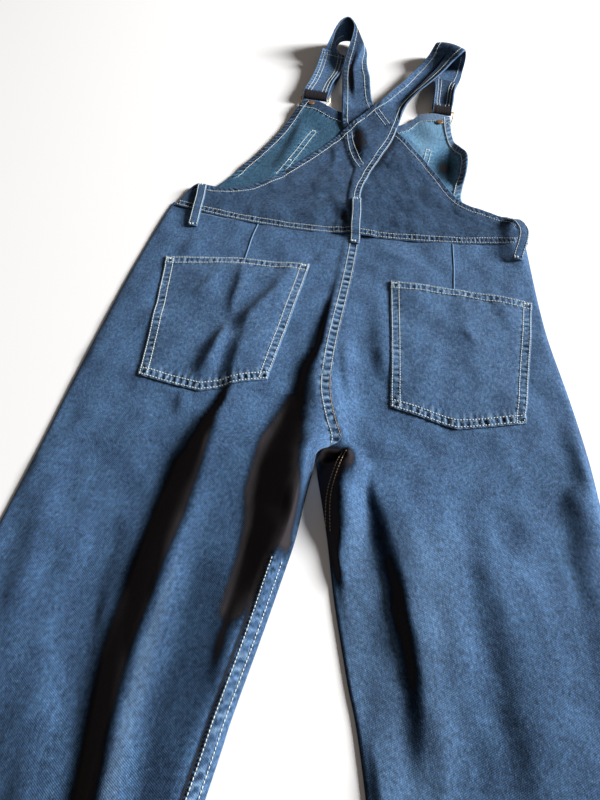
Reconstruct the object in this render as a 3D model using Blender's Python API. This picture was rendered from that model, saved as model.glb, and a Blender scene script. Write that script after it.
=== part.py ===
"""Denim overalls laid face down: front panels on the surface, back panels on them, the straps up and over.

Sizes are in millimetres here and become metres in the meshes. +Y runs to the shoulders, +X to the right
of someone who looks at the back, +Z up. The origin is the middle of the footprint, on the surface.
"""
import math

import bpy
import numpy as np

MM = 0.001
WALL = 1.4              # one layer of denim with its seams
STRAP_WALL = 2.2        # a strap is denim folded on itself
STRAP_WIDTH = 45.0
GAP = 0.35              # air between pieces that touch
LAP = 6.0               # half of the overlap at the centre back seam
HEM_Y = -1020.0         # leg hem
HEM_DEPTH = 22.0        # turned hem of a leg
HEM_RISE = 0.8          # a hem is that much thicker than the panel
CROTCH_Y = -290.0
FRONT_INSET = 4.0       # the front panels end inside the rolled side edges
ROLL = 12.0             # folds fade out that close to a rolled edge
NEAR_ROLL = {"left": 7.0, "right": 2.0}  # and that close to the inner edges beside the crotch
SEAM_LEVEL = 7.0        # the folds are level that far on both sides of the centre back seam
OUTER_PLAIN = 7.0       # the evenly spaced columns of a back panel start that far from its outer edge
INNER_PLAIN = 13.0      # and that far from its inner edge
CROTCH_DROP = 1.8       # the front panels lie that much lower under the crotch
CROTCH_REACH = 40.0     # within about this distance of it
LAP_ENDS = 22.0         # the left back panel rises over the right one within that much of the seam
LAP_FULL = 15.0
BACK_Z = WALL + GAP + 0.1  # underside of the back panels
YOKE_Z = 2 * (WALL + GAP) + 0.1   # underside of the back yoke, over the leg tops and the bib
ORIGIN = (28.5, -276.534)  # middle of the footprint in the garment's own axes

LEG_COLUMNS = 15        # spans across a leg panel between its edge columns
LEG_LEVELS = [(12, 12), (CROTCH_Y, 12), (-590, 7), (HEM_Y, 1)]  # y, and the rows from there to the next

# Leg outlines from waist to hem: the rolled side edge and the inner edge
OUTER_LEFT = [  # y, x
    (40, -225), (25, -232), (-6, -240), (-64, -250), (-135, -257), (-246, -265), (-317, -269),
    (-399, -275), (-560, -287), (-760, -301), (-1020, -318)]
OUTER_RIGHT = [  # y, x
    (40, 207), (6, 210), (-57, 219), (-113, 227), (-188, 243), (-255, 255), (-320, 263),
    (-400, 277), (-560, 303), (-760, 334), (-1020, 375)]
INNER_LEFT = [  # y, x, below the crotch
    (-300, -5), (-338, -9), (-376, -12), (-412, -18), (-462, -27), (-520, -38), (-560, -44),
    (-760, -76), (-1020, -113)]
INNER_RIGHT = [  # y, x, below the crotch
    (-300, -4), (-316, 0), (-336, 6), (-372, 16), (-422, 28), (-480, 45), (-543, 64), (-760, 114),
    (-1020, 170)]
CENTRE_SEAM = [  # y, x of the centre back seam
    (140, 0), (75, -4), (20, 1), (-60, -1), (-160, -7), (-220, -6), (-255, 3), (-275, 12), (-290, 10)]
WAIST_SEAM = [  # x, y of the seam between yoke and legs
    (-232, 34), (-200, 20), (-160, 14), (-100, 15), (-20, 19), (40, 19), (80, 16), (120, 21),
    (160, 28), (210, 37)]

# The largest folds: the middle of the steep face from top to bottom, and the reach of the fall to its right
FOLDS = [  # each row: x, y, half width of the face, height
    {"back": 30, "rows": [
        (-76, -40, 6, 0), (-79, -72, 8, 3), (-85, -94, 8, 6), (-106, -136, 9, 7.5), (-109, -163, 10, 8),
        (-110, -203, 8, 7), (-108, -225, 8, 4), (-108, -250, 8, 0)]},
    {"back": 46, "rows": [
        (-106, -209, 5, 3), (-106, -236, 8, 8), (-111, -263, 10, 14), (-121, -298, 12, 18),
        (-125, -340, 17, 19), (-131, -416, 16, 19), (-136, -480, 16, 18), (-134, -536, 13, 16),
        (-127, -584, 11, 14), (-126, -660, 14, 10), (-130, -760, 18, 5), (-138, -860, 20, 0)]},
    {"back": 20, "only": "left", "rows": [
        (-14, -60, 4, 0), (-18, -116, 5, 4), (-22, -168, 6, 8), (-30, -194, 10, 11), (-32, -260, 16, 15),
        (-38, -307, 22, 17), (-38, -347, 22, 17), (-34, -366, 22, 16), (-43, -403, 10, 10), (-50, -436, 7, 5),
        (-59, -479, 7, 1.5), (-62, -501, 7, 0)]},
    {"back": 56, "rows": [
        (39, -294, 5, 0), (51, -331, 7.6, 8), (62, -366, 10, 10), (75, -399, 9, 10), (83, -430, 9, 10),
        (91, -459, 9, 8), (96, -487, 8, 5), (97, -518, 7, 0)]},
    {"back": 15, "only": "right", "rows": [
        (18, -268, 5, 0), (12, -284, 8, 10), (10, -298, 13, 17), (11, -318, 13, 18), (14, -337, 12, 17),
        (19, -356, 11, 15), (22, -373, 8, 11), (25, -391, 7, 8), (42, -467, 6, 6), (65, -555, 6, 6),
        (82, -640, 6, 5), (100, -740, 6, 0)]},
    {"back": 22, "rows": [
        (214, -213, 8, 0), (219, -240, 10, 4), (228, -282, 11, 6), (239, -390, 11, 5), (250, -520, 14, 3),
        (262, -640, 16, 0)]},
    {"back": 50, "rows": [(113, -330, 9, 0), (128, -386, 12, 4), (130, -475, 11, 3), (128, -508, 10, 0)]},
    {"back": 40, "rows": [
        (-196, -470, 15, 0), (-187, -530, 16, 3), (-174, -585, 17, 8), (-172, -680, 20, 8),
        (-180, -800, 24, 5), (-186, -900, 24, 0)]},
    {"back": 50, "rows": [
        (170, -640, 16, 0), (176, -720, 20, 6), (184, -820, 22, 8), (196, -920, 22, 7), (206, -1020, 20, 5)]},
    {"back": 44, "rows": [
        (-210, -760, 14, 0), (-214, -840, 18, 4), (-220, -930, 20, 6), (-226, -1020, 20, 6)]},
]

# Back yoke halves and their straps: sections from the waist seam up, left point and right point
YOKE_LEFT = [  # lx, ly, lz, rx, ry, rz, bow: z above the yoke's level, bow is the middle's shift in y
    (-230, 30, 0, 7, 13, 0, -9), (-223, 52, -0.9, 5, 34, 0, -5), (-212, 73, -0.2, 3, 54, 0, -2),
    (-188, 71, 0, 2, 72, 0, 0), (-165, 74, 0, 1, 86, 0, 0), (-145, 82, 0, 2, 98, 0, 0),
    (-128, 94, 0, 4, 109, 0, 0), (-112, 110, 0, 7, 121, 0, 0), (-95, 133, 0, 10, 135, 0, 0),
    (-75, 160, 0, 15, 150, 0, 0), (-55, 190, 0, 22, 170, 0, 0), (-40, 213, 1.0, 29, 190, 1.0, 0),
    (-22, 243, 2.2, 35, 212, 1.9, 0), (-5, 272, 3.6, 39, 238, 2.4, 0), (5, 288, 4.6, 42, 258, 3, 0)]
YOKE_RIGHT = [  # lx, ly, lz, rx, ry, rz, bow
    (-5, 13, 0, 212, 33, 0, -7), (-7, 38, 0, 207, 55, -0.9, -4), (-8, 58, 0, 197, 72, -0.2, -2),
    (-9, 72, 0, 178, 77, 0, 0), (-9, 86, 0, 158, 83, 0, 0), (-9, 100, 0, 143, 87, 0, 0),
    (-8, 114, 0, 130, 95, 0, 0), (-7, 127, 0, 115, 116, 0, 0), (-6, 139, 0, 100, 143, 0, 0),
    (-14, 158, 0, 83, 169, 0, 0), (-21, 176, 0, 68, 192, 0, 0), (-26, 194, 0.4, 54, 214, 0.4, 0),
    (-30, 211, 1.1, 36, 233, 1.1, 0), (-37, 226, 1.5, 17, 256, 1.5, 0), (-43, 246, 2.0, 4, 276, 2.2, 0)]

YOKE_ROWS = 16
STRAP_ROWS = 30
SEAM_FOLD = 26.0        # the upper half of the yoke steps down that far from its inner edge
SEAM_FOLD_END = 17.0
OVER_START = -20.0      # and rises before it lies over the other half, by distance to that one's outline
OVER_FULL = -11.0

# Straps past the crossing: left edge, middle line and right edge, z above the surface
STRAP_OVER_RIGHT = [  # lx, ly, lz, mx, my, mz, rx, ry, rz
    (16, 303, 13, 32, 294, 5, 46, 284, 12), (28, 324, 14, 44, 314, 5, 58, 306, 13),
    (40, 346, 14, 57, 337, 6, 73, 328, 14), (52, 372, 14, 69, 361, 8, 88, 352, 15),
    (64, 396, 15, 82, 385, 11, 101, 374, 17), (74, 414, 19, 93, 406, 19, 112, 391, 24),
    (80, 427, 24, 101, 418, 30, 121, 399, 32), (84, 439, 25, 105, 427, 32, 127, 407, 34),
    (86, 447, 19, 107, 434, 25, 130, 411, 25), (87, 449, 11, 108, 435, 14, 131, 412, 14),
    (87, 442, 5, 108, 426, 6, 130, 405, 6), (86, 415, 3, 107, 402, 3, 128, 388, 3),
    (87, 380, 3, 106, 374, 3, 123, 366, 4), (88, 350, 9, 103, 350, 3, 119, 347, 9),
    (88, 327, 11, 102, 327, 3, 116, 325, 11), (87, 305, 10, 101, 305, 3, 115, 304, 10),
    (86, 295, 7, 100, 295, 4, 114, 295, 7)]
STRAP_OVER_LEFT = [  # lx, ly, lz, mx, my, mz, rx, ry, rz
    (-46, 284, 8, -25, 288, 5, -3, 297, 7), (-50, 322, 9, -30, 322, 6, -8, 326, 8),
    (-53, 348, 11, -34, 348, 6, -11, 350, 8), (-54, 368, 17, -37, 368, 8, -16, 372, 7),
    (-52, 388, 25, -36, 390, 12, -20, 398, 6), (-49, 402, 33, -35, 412, 18, -22, 422, 6),
    (-47, 418, 39, -34, 436, 20, -28, 443, 6), (-47, 435, 43, -39, 450, 23, -38, 455, 5),
    (-52, 447, 45, -48, 459, 25, -48, 462, 5), (-59, 452, 46, -58, 463, 26, -58, 464, 5),
    (-67, 445, 44, -69, 456, 24, -68, 458, 5), (-73, 433, 40, -76, 440, 20, -72, 441, 4),
    (-79, 418, 33, -74, 420, 15, -63, 422, 4), (-86, 402, 21, -74, 404, 9, -58, 405, 4),
    (-92, 386, 9, -76, 386, 5, -56, 386, 4), (-95, 360, 5, -77, 360, 4, -57, 360, 4),
    (-99, 330, 4, -81, 330, 4, -63, 330, 4), (-104, 301, 4, -87, 300, 4, -68, 299, 4)]
STRAP_RETURN_RIGHT = [  # lx, ly, lz, mx, my, mz, rx, ry, rz
    (88, 289, 3, 101, 288, 3, 114, 288, 3), (87, 282, 8, 101, 282, 8, 114, 282, 8),
    (87, 292, 12, 101, 292, 11, 114, 291, 12), (87, 305, 15, 101, 305, 8, 115, 304, 15),
    (88, 327, 16, 102, 327, 8, 116, 325, 16), (88, 350, 13, 103, 350, 8, 119, 347, 13),
    (88, 372, 8, 106, 370, 8, 123, 362, 8)]
STRAP_RETURN_LEFT = [  # lx, ly, lz, mx, my, mz, rx, ry, rz
    (-104, 294, 3, -88, 293, 3, -69, 292, 3), (-104, 287, 8, -88, 286, 8, -69, 286, 8),
    (-105, 298, 12, -87, 297, 11, -68, 296, 11), (-99, 330, 13, -81, 330, 8, -65, 330, 11),
    (-95, 360, 14, -77, 360, 9, -57, 360, 11), (-93, 384, 17, -76, 386, 11, -55, 386, 11),
    (-91, 398, 24, -74, 403, 17, -56, 404, 12)]

# Bib, from the front waist to its top edge
BIB = [  # lx, ly, rx, ry
    (-222, 41, 203, 43), (-214, 62, 196, 60), (-195, 69, 168, 72), (-182, 85, 140, 86),
    (-170, 106, 131, 104), (-160, 127, 132, 125), (-150, 147, 135, 147), (-137, 177, 136, 177),
    (-127, 203, 128, 200), (-117, 237, 117, 232), (-110, 257, 114, 252), (-103, 281, 113, 272)]
BIB_TOP = [  # x, shift in y of the top edge
    (-110, 2), (-80, 0), (-62, -8), (-47, -12), (0, -26), (42, -26), (56, -16), (68, 2), (90, 6), (115, 2)]
BIB_POCKET = [  # lx, ly, rx, ry, top to bottom
    (-86, 214, 84, 202), (-96, 180, 82, 172), (-106, 140, 78, 140), (-116, 108, 70, 108), (-60, 90, 20, 90)]

# Back pockets, top to bottom: outer and inner edges, then the point's shift at the middle
POCKET_LEFT = [  # lx, ly, rx, ry, shift of the middle in y
    (-217, -61, -46, -48, 5), (-212, -105, -51, -92, 0), (-207, -148, -56, -135, -3),
    (-203, -190, -61, -176, -7), (-199, -231, -66, -217, -16)]
POCKET_RIGHT = [  # lx, ly, rx, ry, shift of the middle in y
    (49, -57, 211, -64, 3), (52, -100, 208, -106, 0), (55, -143, 204, -147, -3),
    (58, -186, 200, -187, -8), (61, -228, 195, -226, -16)]
POCKET_REACH = 11.0     # a pocket clears the highest cloth within this reach of each of its points
POCKET_HEM = 0.8        # a pocket's upper hem is that much thicker

# Belt loops, top to bottom: middle line, height of the bow over the cloth
BELT_LOOPS = {
    "belt_loop_left": [
        (-204, 71, 0), (-203, 64, 2.0), (-201, 45, 2.6), (-200, 22, 2.2), (-199, 5, 1.6), (-199, -5, 0)],
    "belt_loop_centre": [(-3, 74, 0), (-3, 66, 1.4), (-1, 45, 2.0), (0, 22, 1.8), (2, 6, 1.4), (2, -3, 0)],
    "belt_loop_right": [
        (191, 70, 0), (197, 62, 6.0), (203, 46, 10.0), (202, 28, 9.0), (198, 10, 4.0), (196, 0, 0)],
}
BELT_LOOP_WIDTH = 12.0
BELT_LOOP_WALL = 1.8
BELT_LOOP_REACH = 22.0  # a loop clears the highest cloth within this reach

# Bib fastenings: the button's place, its sizes and the wire buckle above it
FASTENINGS = {"left": (-90, 273), "right": (98, 258)}
BUCKLE_BARS = {"left": ((-108, 293), (-65, 291)), "right": ((83, 288), (118, 288))}
BUTTON_RADIUS = 8.5
BUTTON_HEIGHT = 2.6
SHANK_RADIUS = 2.4
RIVET_RADIUS = 4.6
RIVET_HEIGHT = 1.3
WIRE_RADIUS = 1.3
BAR_Z = 7.2             # the buckle's bar lies in the fold of the strap's end
CORNER_LIFT = 5.2       # how far the bib's corner rides up over its button
CORNER_REACH = 36.0
CUP_HEIGHT = 13.0       # how far the bib's right edge stands up beside the pocket
BIB_HEM = 0.9           # the bib's hems are that much thicker

DENIM = (0.050, 0.105, 0.215)
DENIM_WRONG_SIDE = (0.140, 0.290, 0.450)
GOLD = (0.80, 0.62, 0.36)
COPPER = (0.66, 0.38, 0.20)


def clear_scene():
    for item in list(bpy.data.objects):
        bpy.data.objects.remove(item, do_unlink=True)


def material(name, colour, roughness, metallic=0.0):
    made = bpy.data.materials.new(name)
    made.use_nodes = True
    shader = made.node_tree.nodes["Principled BSDF"]
    shader.inputs["Base Color"].default_value = (*colour, 1.0)
    shader.inputs["Roughness"].default_value = roughness
    shader.inputs["Metallic"].default_value = metallic
    return made


def smooth(low, high, value):
    """0 below low, 1 above high, with an S curve between."""
    t = np.clip((np.asarray(value, float) - low) / (high - low), 0.0, 1.0)
    return t * t * (3 - 2 * t)


def along(table, at):
    """The value of a two-column table at a position, which runs up or down."""
    places, values = (np.array(column, float) for column in zip(*table))
    order = np.argsort(places)
    return np.interp(at, places[order], values[order])


def curve_rows(table, rows):
    """The table's rows resampled evenly to a count, on a Catmull-Rom curve through them."""
    keys = np.array(table, float)
    step = np.linalg.norm(np.diff(keys, axis=0), axis=1)
    length = np.concatenate([[0], np.cumsum(step)])
    places = np.linspace(0, length[-1], rows)
    out = []
    for place in places:
        k = min(int(np.searchsorted(length, place, side="right")) - 1, len(keys) - 2)
        t = (place - length[k]) / (length[k + 1] - length[k])
        p0, p1 = keys[max(k - 1, 0)], keys[k]
        p2, p3 = keys[k + 1], keys[min(k + 2, len(keys) - 1)]
        out.append(0.5 * (2 * p1 + (p2 - p0) * t + (2 * p0 - 5 * p1 + 4 * p2 - p3) * t * t
                          + (3 * p1 - p0 - 3 * p2 + p3) * t ** 3))
    return np.array(out)


def slope(fold, x, y, samples=30):
    """Height of one fold: a steep face across its line, rising to the right, then a soft fall."""
    line = curve_rows(fold["rows"], samples)
    best = np.full(np.shape(x), 1e9)
    across, half, height = (np.zeros(np.shape(x)) for _ in range(3))
    for (ax, ay, aw, ah), (bx, by, bw, bh) in zip(line, line[1:]):
        dx, dy = bx - ax, by - ay
        t = np.clip(((x - ax) * dx + (y - ay) * dy) / (dx * dx + dy * dy), 0, 1)
        ox, oy = x - ax - t * dx, y - ay - t * dy
        distance = np.hypot(ox, oy)
        side = np.where(ox * dy - oy * dx > 0, -1.0, 1.0)
        nearer = distance < best
        best = np.where(nearer, distance, best)
        across = np.where(nearer, side * distance, across)
        half = np.where(nearer, aw + (bw - aw) * t, half)
        height = np.where(nearer, ah + (bh - ah) * t, height)
    face = smooth(0, 1, (across + half) / (2 * half))
    beyond = np.clip(across - half, 0, None)
    return np.clip(height, 0, None) * face * np.exp(-(beyond / fold["back"]) ** 2)


def relief(side, x, y):
    """Height that the folds lift both layers of a leg by; some belong to one leg only."""
    seam = along(CENTRE_SEAM, y)
    held = SEAM_LEVEL * smooth(CROTCH_Y - 10, CROTCH_Y + 10, y)
    level_at_seam = x - np.clip(x - seam + held, 0, 2 * held)
    height = np.zeros(np.shape(x))
    for fold in FOLDS:
        only = fold.get("only")
        if only == "right":
            clear = smooth(LAP, LAP + 8, x - seam)
            here = slope(fold, x, y) * np.maximum(clear, smooth(CROTCH_Y + 4, CROTCH_Y - 8, y))
        else:
            here = slope(fold, level_at_seam, y)
        if only and only != side:
            here = here * smooth(CROTCH_Y - 6, CROTCH_Y + 22, y)
        height = np.maximum(height, here)
    return height


def inner_roll(side, y):
    """How far in from the inner edge the folds are rolled down."""
    near_crotch = NEAR_ROLL[side]
    return near_crotch + (ROLL - near_crotch) * smooth(-350, -420, y)


def normals_of(grid):
    """The unit normal at each point of a grid (rows, columns, 3)."""
    across = np.gradient(grid, axis=1)
    down = np.gradient(grid, axis=0)
    normal = np.cross(across, down)
    return normal / np.maximum(np.linalg.norm(normal, axis=2, keepdims=True), 1e-9)


def sheet(name, upper, lower, finish):
    """A closed wall between two grids of points (rows, columns, 3), in millimetres."""
    rows, columns = upper.shape[:2]
    count = rows * columns
    shifted = np.concatenate([upper.reshape(-1, 3), lower.reshape(-1, 3)]) - np.array([*ORIGIN, 0.0])
    faces = []
    for r in range(rows - 1):
        for c in range(columns - 1):
            a, b = r * columns + c, r * columns + c + 1
            d, e = a + columns, b + columns
            faces += [(a, d, b), (b, d, e)]
            faces += [(a + count, b + count, d + count), (b + count, e + count, d + count)]
    rim = [c for c in range(columns)]
    rim += [r * columns + columns - 1 for r in range(1, rows)]
    rim += [(rows - 1) * columns + c for c in range(columns - 2, -1, -1)]
    rim += [r * columns for r in range(rows - 2, 0, -1)]
    for a, b in zip(rim, rim[1:] + rim[:1]):
        faces += [(a, b, b + count), (a, b + count, a + count)]
    mesh = bpy.data.meshes.new(name)
    mesh.from_pydata((shifted * MM).tolist(), [], faces)
    mesh.update()
    if signed_volume(mesh) < 0:
        mesh.flip_normals()
    mesh.shade_smooth()
    mesh.set_sharp_from_angle(angle=math.radians(50))
    mesh.materials.append(finish)
    bpy.context.scene.collection.objects.link(bpy.data.objects.new(name, mesh))


def signed_volume(mesh):
    """Six times the volume inside the mesh, negative when its faces look inward."""
    points = np.array([v.co[:] for v in mesh.vertices])
    corners = points[np.array([p.vertices[:] for p in mesh.polygons])]
    return np.linalg.det(corners).sum()


def leg_edges(side):
    """Functions of y for the outer edge and for the inner edge of the back and of the front panel."""
    sign = -1 if side == "left" else 1
    outer = OUTER_LEFT if side == "left" else OUTER_RIGHT
    inner = INNER_LEFT if side == "left" else INNER_RIGHT

    def back_inner(y):
        above = along(CENTRE_SEAM, y) - sign * LAP
        below = along(inner, y)
        return above + (below - above) * smooth(CROTCH_Y + 20, CROTCH_Y - 10, y)

    def front_inner(y):
        above = sign * 0.2
        below = along(inner, np.minimum(y, CROTCH_Y - 6)) + sign * FRONT_INSET
        return above + (below - above) * smooth(CROTCH_Y + 35, CROTCH_Y + 5, y)

    return (lambda y: along(outer, y)), back_inner, front_inner


def leg_rows(outer, inner):
    """y of each row at each share of the width: the first row follows the waist seam, the last the hem."""
    shares = np.linspace(0, 1, LEG_COLUMNS + 1)
    spans = []
    for (start, rows), (end, _) in zip(LEG_LEVELS, LEG_LEVELS[1:]):
        spans.append(np.linspace(start, end, rows + 1)[:-1])
    levels = np.concatenate(spans + [[HEM_Y]])
    grid_x, grid_y = [], []
    for level in levels:
        x = outer(level) + (inner(level) - outer(level)) * shares
        drop = along(WAIST_SEAM, x) + 3.0 - levels[0]
        y = level + drop * smooth(-70, 12, level)
        grid_x.append(x)
        grid_y.append(y)
    return np.array(grid_x), np.array(grid_y)


def leg_surface(side):
    """Upper and lower grids of the back panel and of the front panel of one leg."""
    outer, back_inner, front_inner = leg_edges(side)
    sign = -1 if side == "left" else 1
    x, y = leg_rows(outer, back_inner)
    level = y.mean(axis=1)
    width = np.abs(x[:, -1] - x[:, 0])
    to_inner = -sign
    roll = smooth(CROTCH_Y - 8, CROTCH_Y - 26, level)
    lap = (WALL + GAP) * (1 - smooth(CROTCH_Y + 2, CROTCH_Y - 9, level)) if side == "left" else 0 * level

    # Edge columns: offset from the edge and height of the upper and lower faces
    rolled = {"up": [(0.4, 0.1), (0.0, 1.6), (1.6, 2.8)], "low": [(1.9, 0.1), (1.8, 1.1), (2.8, 1.45)]}
    lapped = {"up": [(0.0, 0.55), (0.0, 1.15), (2.5, 1.4)], "low": [(0.7, 0.0), (1.3, 0.0), (2.5, 0.0)]}
    back_up, back_low, front_up, front_low = [], [], [], []
    for r in range(len(x)):
        plain_d = np.linspace(OUTER_PLAIN, width[r] - INNER_PLAIN, LEG_COLUMNS + 1)
        base_y = np.interp(plain_d, np.abs(x[r] - x[r, 0]), y[r])
        plain_x = x[r, 0] + to_inner * plain_d
        rise = relief(side, plain_x, base_y) * smooth(0, ROLL, plain_d)
        from_inner = smooth(0, inner_roll(side, base_y), width[r] - plain_d)
        rise = rise * (1 - roll[r] + roll[r] * from_inner)
        under = BACK_Z + rise + lap[r] * smooth(LAP_ENDS, LAP_FULL, width[r] - plain_d)
        up = [(px, py, z + WALL) for px, py, z in zip(plain_x, base_y, under)]
        low = list(zip(plain_x, base_y, under))
        start_up = [(x[r, 0] + to_inner * d, y[r, 0], z) for d, z in rolled["up"]]
        start_low = [(x[r, 0] + to_inner * d, y[r, 0], z) for d, z in rolled["low"]]
        end_up, end_low = [], []
        for k in (2, 1, 0):
            for out, key in ((end_up, "up"), (end_low, "low")):
                d_lap, z_lap = lapped[key][k]
                d_roll, z_roll = rolled[key][k]
                inner_z = BACK_Z + z_lap + lap[r] + rise[-1]
                d = d_lap + (d_roll - d_lap) * roll[r]
                z = inner_z + (z_roll - inner_z) * roll[r]
                out.append((x[r, -1] - to_inner * d, y[r, -1], z))
        back_up.append(start_up + up + end_up)
        back_low.append(start_low + low + end_low)

        end = front_inner(level[r])
        room = abs(end - x[r, 0]) - 1.2 - 0.9 * np.arange(len(plain_d))[::-1]
        flat_d = np.concatenate([[FRONT_INSET], np.minimum(plain_d, room), [abs(end - x[r, 0])]])
        flat_x = x[r, 0] + to_inner * flat_d
        flat_y = np.interp(flat_d, np.abs(x[r] - x[r, 0]), y[r])
        edge = np.interp(flat_d, plain_d, rise)
        from_crotch = np.hypot(flat_x, level[r] - CROTCH_Y - 10)
        at_crotch = np.exp(-(from_crotch / CROTCH_REACH) ** 2)
        edge = np.maximum(edge - CROTCH_DROP * at_crotch, 0.0)
        edge[0] = 0.0
        edge[-1] = edge[-1] * (1 - roll[r])
        front_up.append([(flat_x[k], flat_y[k], WALL + edge[k]) for k in range(len(flat_x))])
        front_low.append([(flat_x[k], flat_y[k], edge[k]) for k in range(len(flat_x))])
    grids = [np.array(g, float) for g in (back_up, back_low, front_up, front_low)]
    thick = HEM_RISE * (level < HEM_Y + HEM_DEPTH)
    grids[0][:, 3:-3, 2] += thick[:, None]
    return grids


def height_over(grid, x, y, reach):
    """The greatest height of a grid of points over a place and the four places within reach of it."""
    a, b, d, e = grid[:-1, :-1], grid[:-1, 1:], grid[1:, :-1], grid[1:, 1:]
    halves = [np.stack(three, 2).reshape(-1, 3, 3) for three in ((a, d, b), (b, d, e))]
    corners = np.concatenate(halves)
    best = -1e9
    for dx, dy in ((0, 0), (reach, 0), (-reach, 0), (0, reach), (0, -reach)):
        p0, p1, p2 = corners[:, 0], corners[:, 1], corners[:, 2]
        v1, v2 = p1 - p0, p2 - p0
        qx, qy = x + dx - p0[:, 0], y + dy - p0[:, 1]
        area = v1[:, 0] * v2[:, 1] - v1[:, 1] * v2[:, 0]
        area = np.where(np.abs(area) < 1e-9, 1e-9, area)
        u = (qx * v2[:, 1] - qy * v2[:, 0]) / area
        w = (v1[:, 0] * qy - v1[:, 1] * qx) / area
        hit = (u >= -1e-6) & (w >= -1e-6) & (u + w <= 1 + 1e-6)
        if hit.any():
            best = max(best, float((p0[:, 2] + u * v1[:, 2] + w * v2[:, 2])[hit].max()))
    return best


def inside_outline(outline, x, y):
    """Signed distance to a closed outline, positive inside."""
    points = np.array(outline, float)
    ends = np.roll(points, -1, axis=0)
    best = np.full(np.shape(x), 1e9)
    crossings = np.zeros(np.shape(x), int)
    for (ax, ay), (bx, by) in zip(points, ends):
        dx, dy = bx - ax, by - ay
        t = np.clip(((x - ax) * dx + (y - ay) * dy) / max(dx * dx + dy * dy, 1e-9), 0, 1)
        best = np.minimum(best, np.hypot(x - ax - t * dx, y - ay - t * dy))
        if ay != by:
            crossed = ((ay > y) != (by > y)) & (x < ax + (y - ay) * dx / dy)
            crossings = crossings + crossed
    return np.where(crossings % 2 == 1, best, -best)


def strap_section(row, shares):
    """Points across a strap: a bow from its left edge over its middle line to its right edge."""
    left, middle, right = row[0:3], row[3:6], row[6:9]
    bend = 4 * shares * (1 - shares)
    straight = left[None] * (1 - shares[:, None]) + right[None] * shares[:, None]
    return straight + (middle - (left + right) / 2)[None] * bend[:, None]


def yoke(name, table, strap, over, finish):
    """Half of the back yoke and the strap that it runs on into, lifted where it lies over the other half."""
    even = np.linspace(0, 1, 9)
    sections = []
    for lx, ly, lz, rx, ry, rz, bow in curve_rows(table, YOKE_ROWS):
        across = math.hypot(rx - lx, ry - ly)
        shares = even.copy()
        if over is not None and across > 2 * STRAP_WIDTH:
            shares[-3:] = 1 - np.array([SEAM_FOLD, SEAM_FOLD_END, 0.0]) / across
            shares[:-2] = np.linspace(0, shares[-3], 7)
        x = lx + (rx - lx) * shares
        y = ly + (ry - ly) * shares + bow * 4 * shares * (1 - shares)
        droop = lz * (1 - smooth(0, 0.12, shares)) if lz < 0 else lz * (1 - shares)
        droop = droop + (rz * smooth(0.88, 1, shares) if rz < 0 else rz * shares)
        z = YOKE_Z + droop + (WALL + GAP) * smooth(28, 21, np.abs(x)) * smooth(40, 30, y)
        if over is not None:
            z = z + (WALL + GAP + 0.2) * smooth(OVER_START, OVER_FULL, inside_outline(over, x, y))
        sections.append(np.stack([x, y, z], 1))
    tail = []
    for row in curve_rows(strap, STRAP_ROWS):
        tail.append(strap_section(row, even))
    lower = np.array(sections + tail)
    thickness = np.full(lower.shape[:2] + (1,), WALL)
    thickness[len(sections):] = STRAP_WALL
    normal = normals_of(lower)
    if normal[0, 0, 2] < 0:
        normal = -normal
    upper = lower + normal * thickness
    sheet(name, upper, lower, finish)
    return upper


def ribbon(name, table, finish):
    """The end of a strap, doubled back over it from the buckle's bar."""
    rows, columns = 15, 7
    shares = np.linspace(0, 1, columns)
    grid = []
    for row in curve_rows(table, rows):
        grid.append(strap_section(row, shares))
    middle = np.array(grid)
    normal = normals_of(middle)
    sheet(name, middle + normal * STRAP_WALL / 2, middle - normal * STRAP_WALL / 2, finish)


def bib_rise(x, y):
    """How far the bib stands off the surface: over its buttons, and along its cupped right edge."""
    height = np.zeros(np.shape(x))
    for bx, by in FASTENINGS.values():
        height = np.maximum(height, CORNER_LIFT * np.exp(-(np.hypot(x - bx, y - by) / CORNER_REACH) ** 4))
    cup = CUP_HEIGHT * smooth(116, 135, x) * smooth(118, 150, y) * smooth(250, 205, y)
    return np.maximum(height, cup)


def bib(finish):
    rows, columns = 15, 13
    shares = np.linspace(0, 1, columns)
    upper, lower = [], []
    sections = curve_rows(BIB, rows)
    for k, row in enumerate(sections):
        lx, ly, rx, ry = row
        x = lx + (rx - lx) * shares
        y = ly + (ry - ly) * shares
        y = y + along(BIB_TOP, x) * smooth(0.80, 1.0, k / (rows - 1))
        if k == 0:
            y = np.maximum(along(WAIST_SEAM, x) + 4.5, 18)
        if k == 1:
            y = np.maximum(y, along(WAIST_SEAM, x) + 16)
        z = WALL + GAP + bib_rise(x, y)
        z = z - (WALL + GAP - 0.05) * smooth(72, 54, y)
        lower.append(np.stack([x, y, z], 1))
        hem = np.zeros(columns)
        if k >= 3:
            hem[[0, -1]] = BIB_HEM
        if k >= rows - 2:
            hem[:] = BIB_HEM
        upper.append(np.stack([x, y, z + WALL + hem * smooth(104, 122, y)], 1))
    sheet("front_bib", np.array(upper), np.array(lower), finish)
    return np.array(upper)


def bib_pocket(finish):
    """The bib's patch pocket, flat on the surface under the bib."""
    rows, columns = 8, 8
    shares = np.linspace(0, 1, columns)
    grid = []
    for lx, ly, rx, ry in curve_rows(BIB_POCKET, rows):
        x = lx + (rx - lx) * shares
        y = ly + (ry - ly) * shares
        grid.append(np.stack([x, y, np.zeros(columns)], 1))
    lower = np.array(grid)
    sheet("bib_pocket", lower + np.array([0, 0, WALL]), lower, finish)


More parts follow.
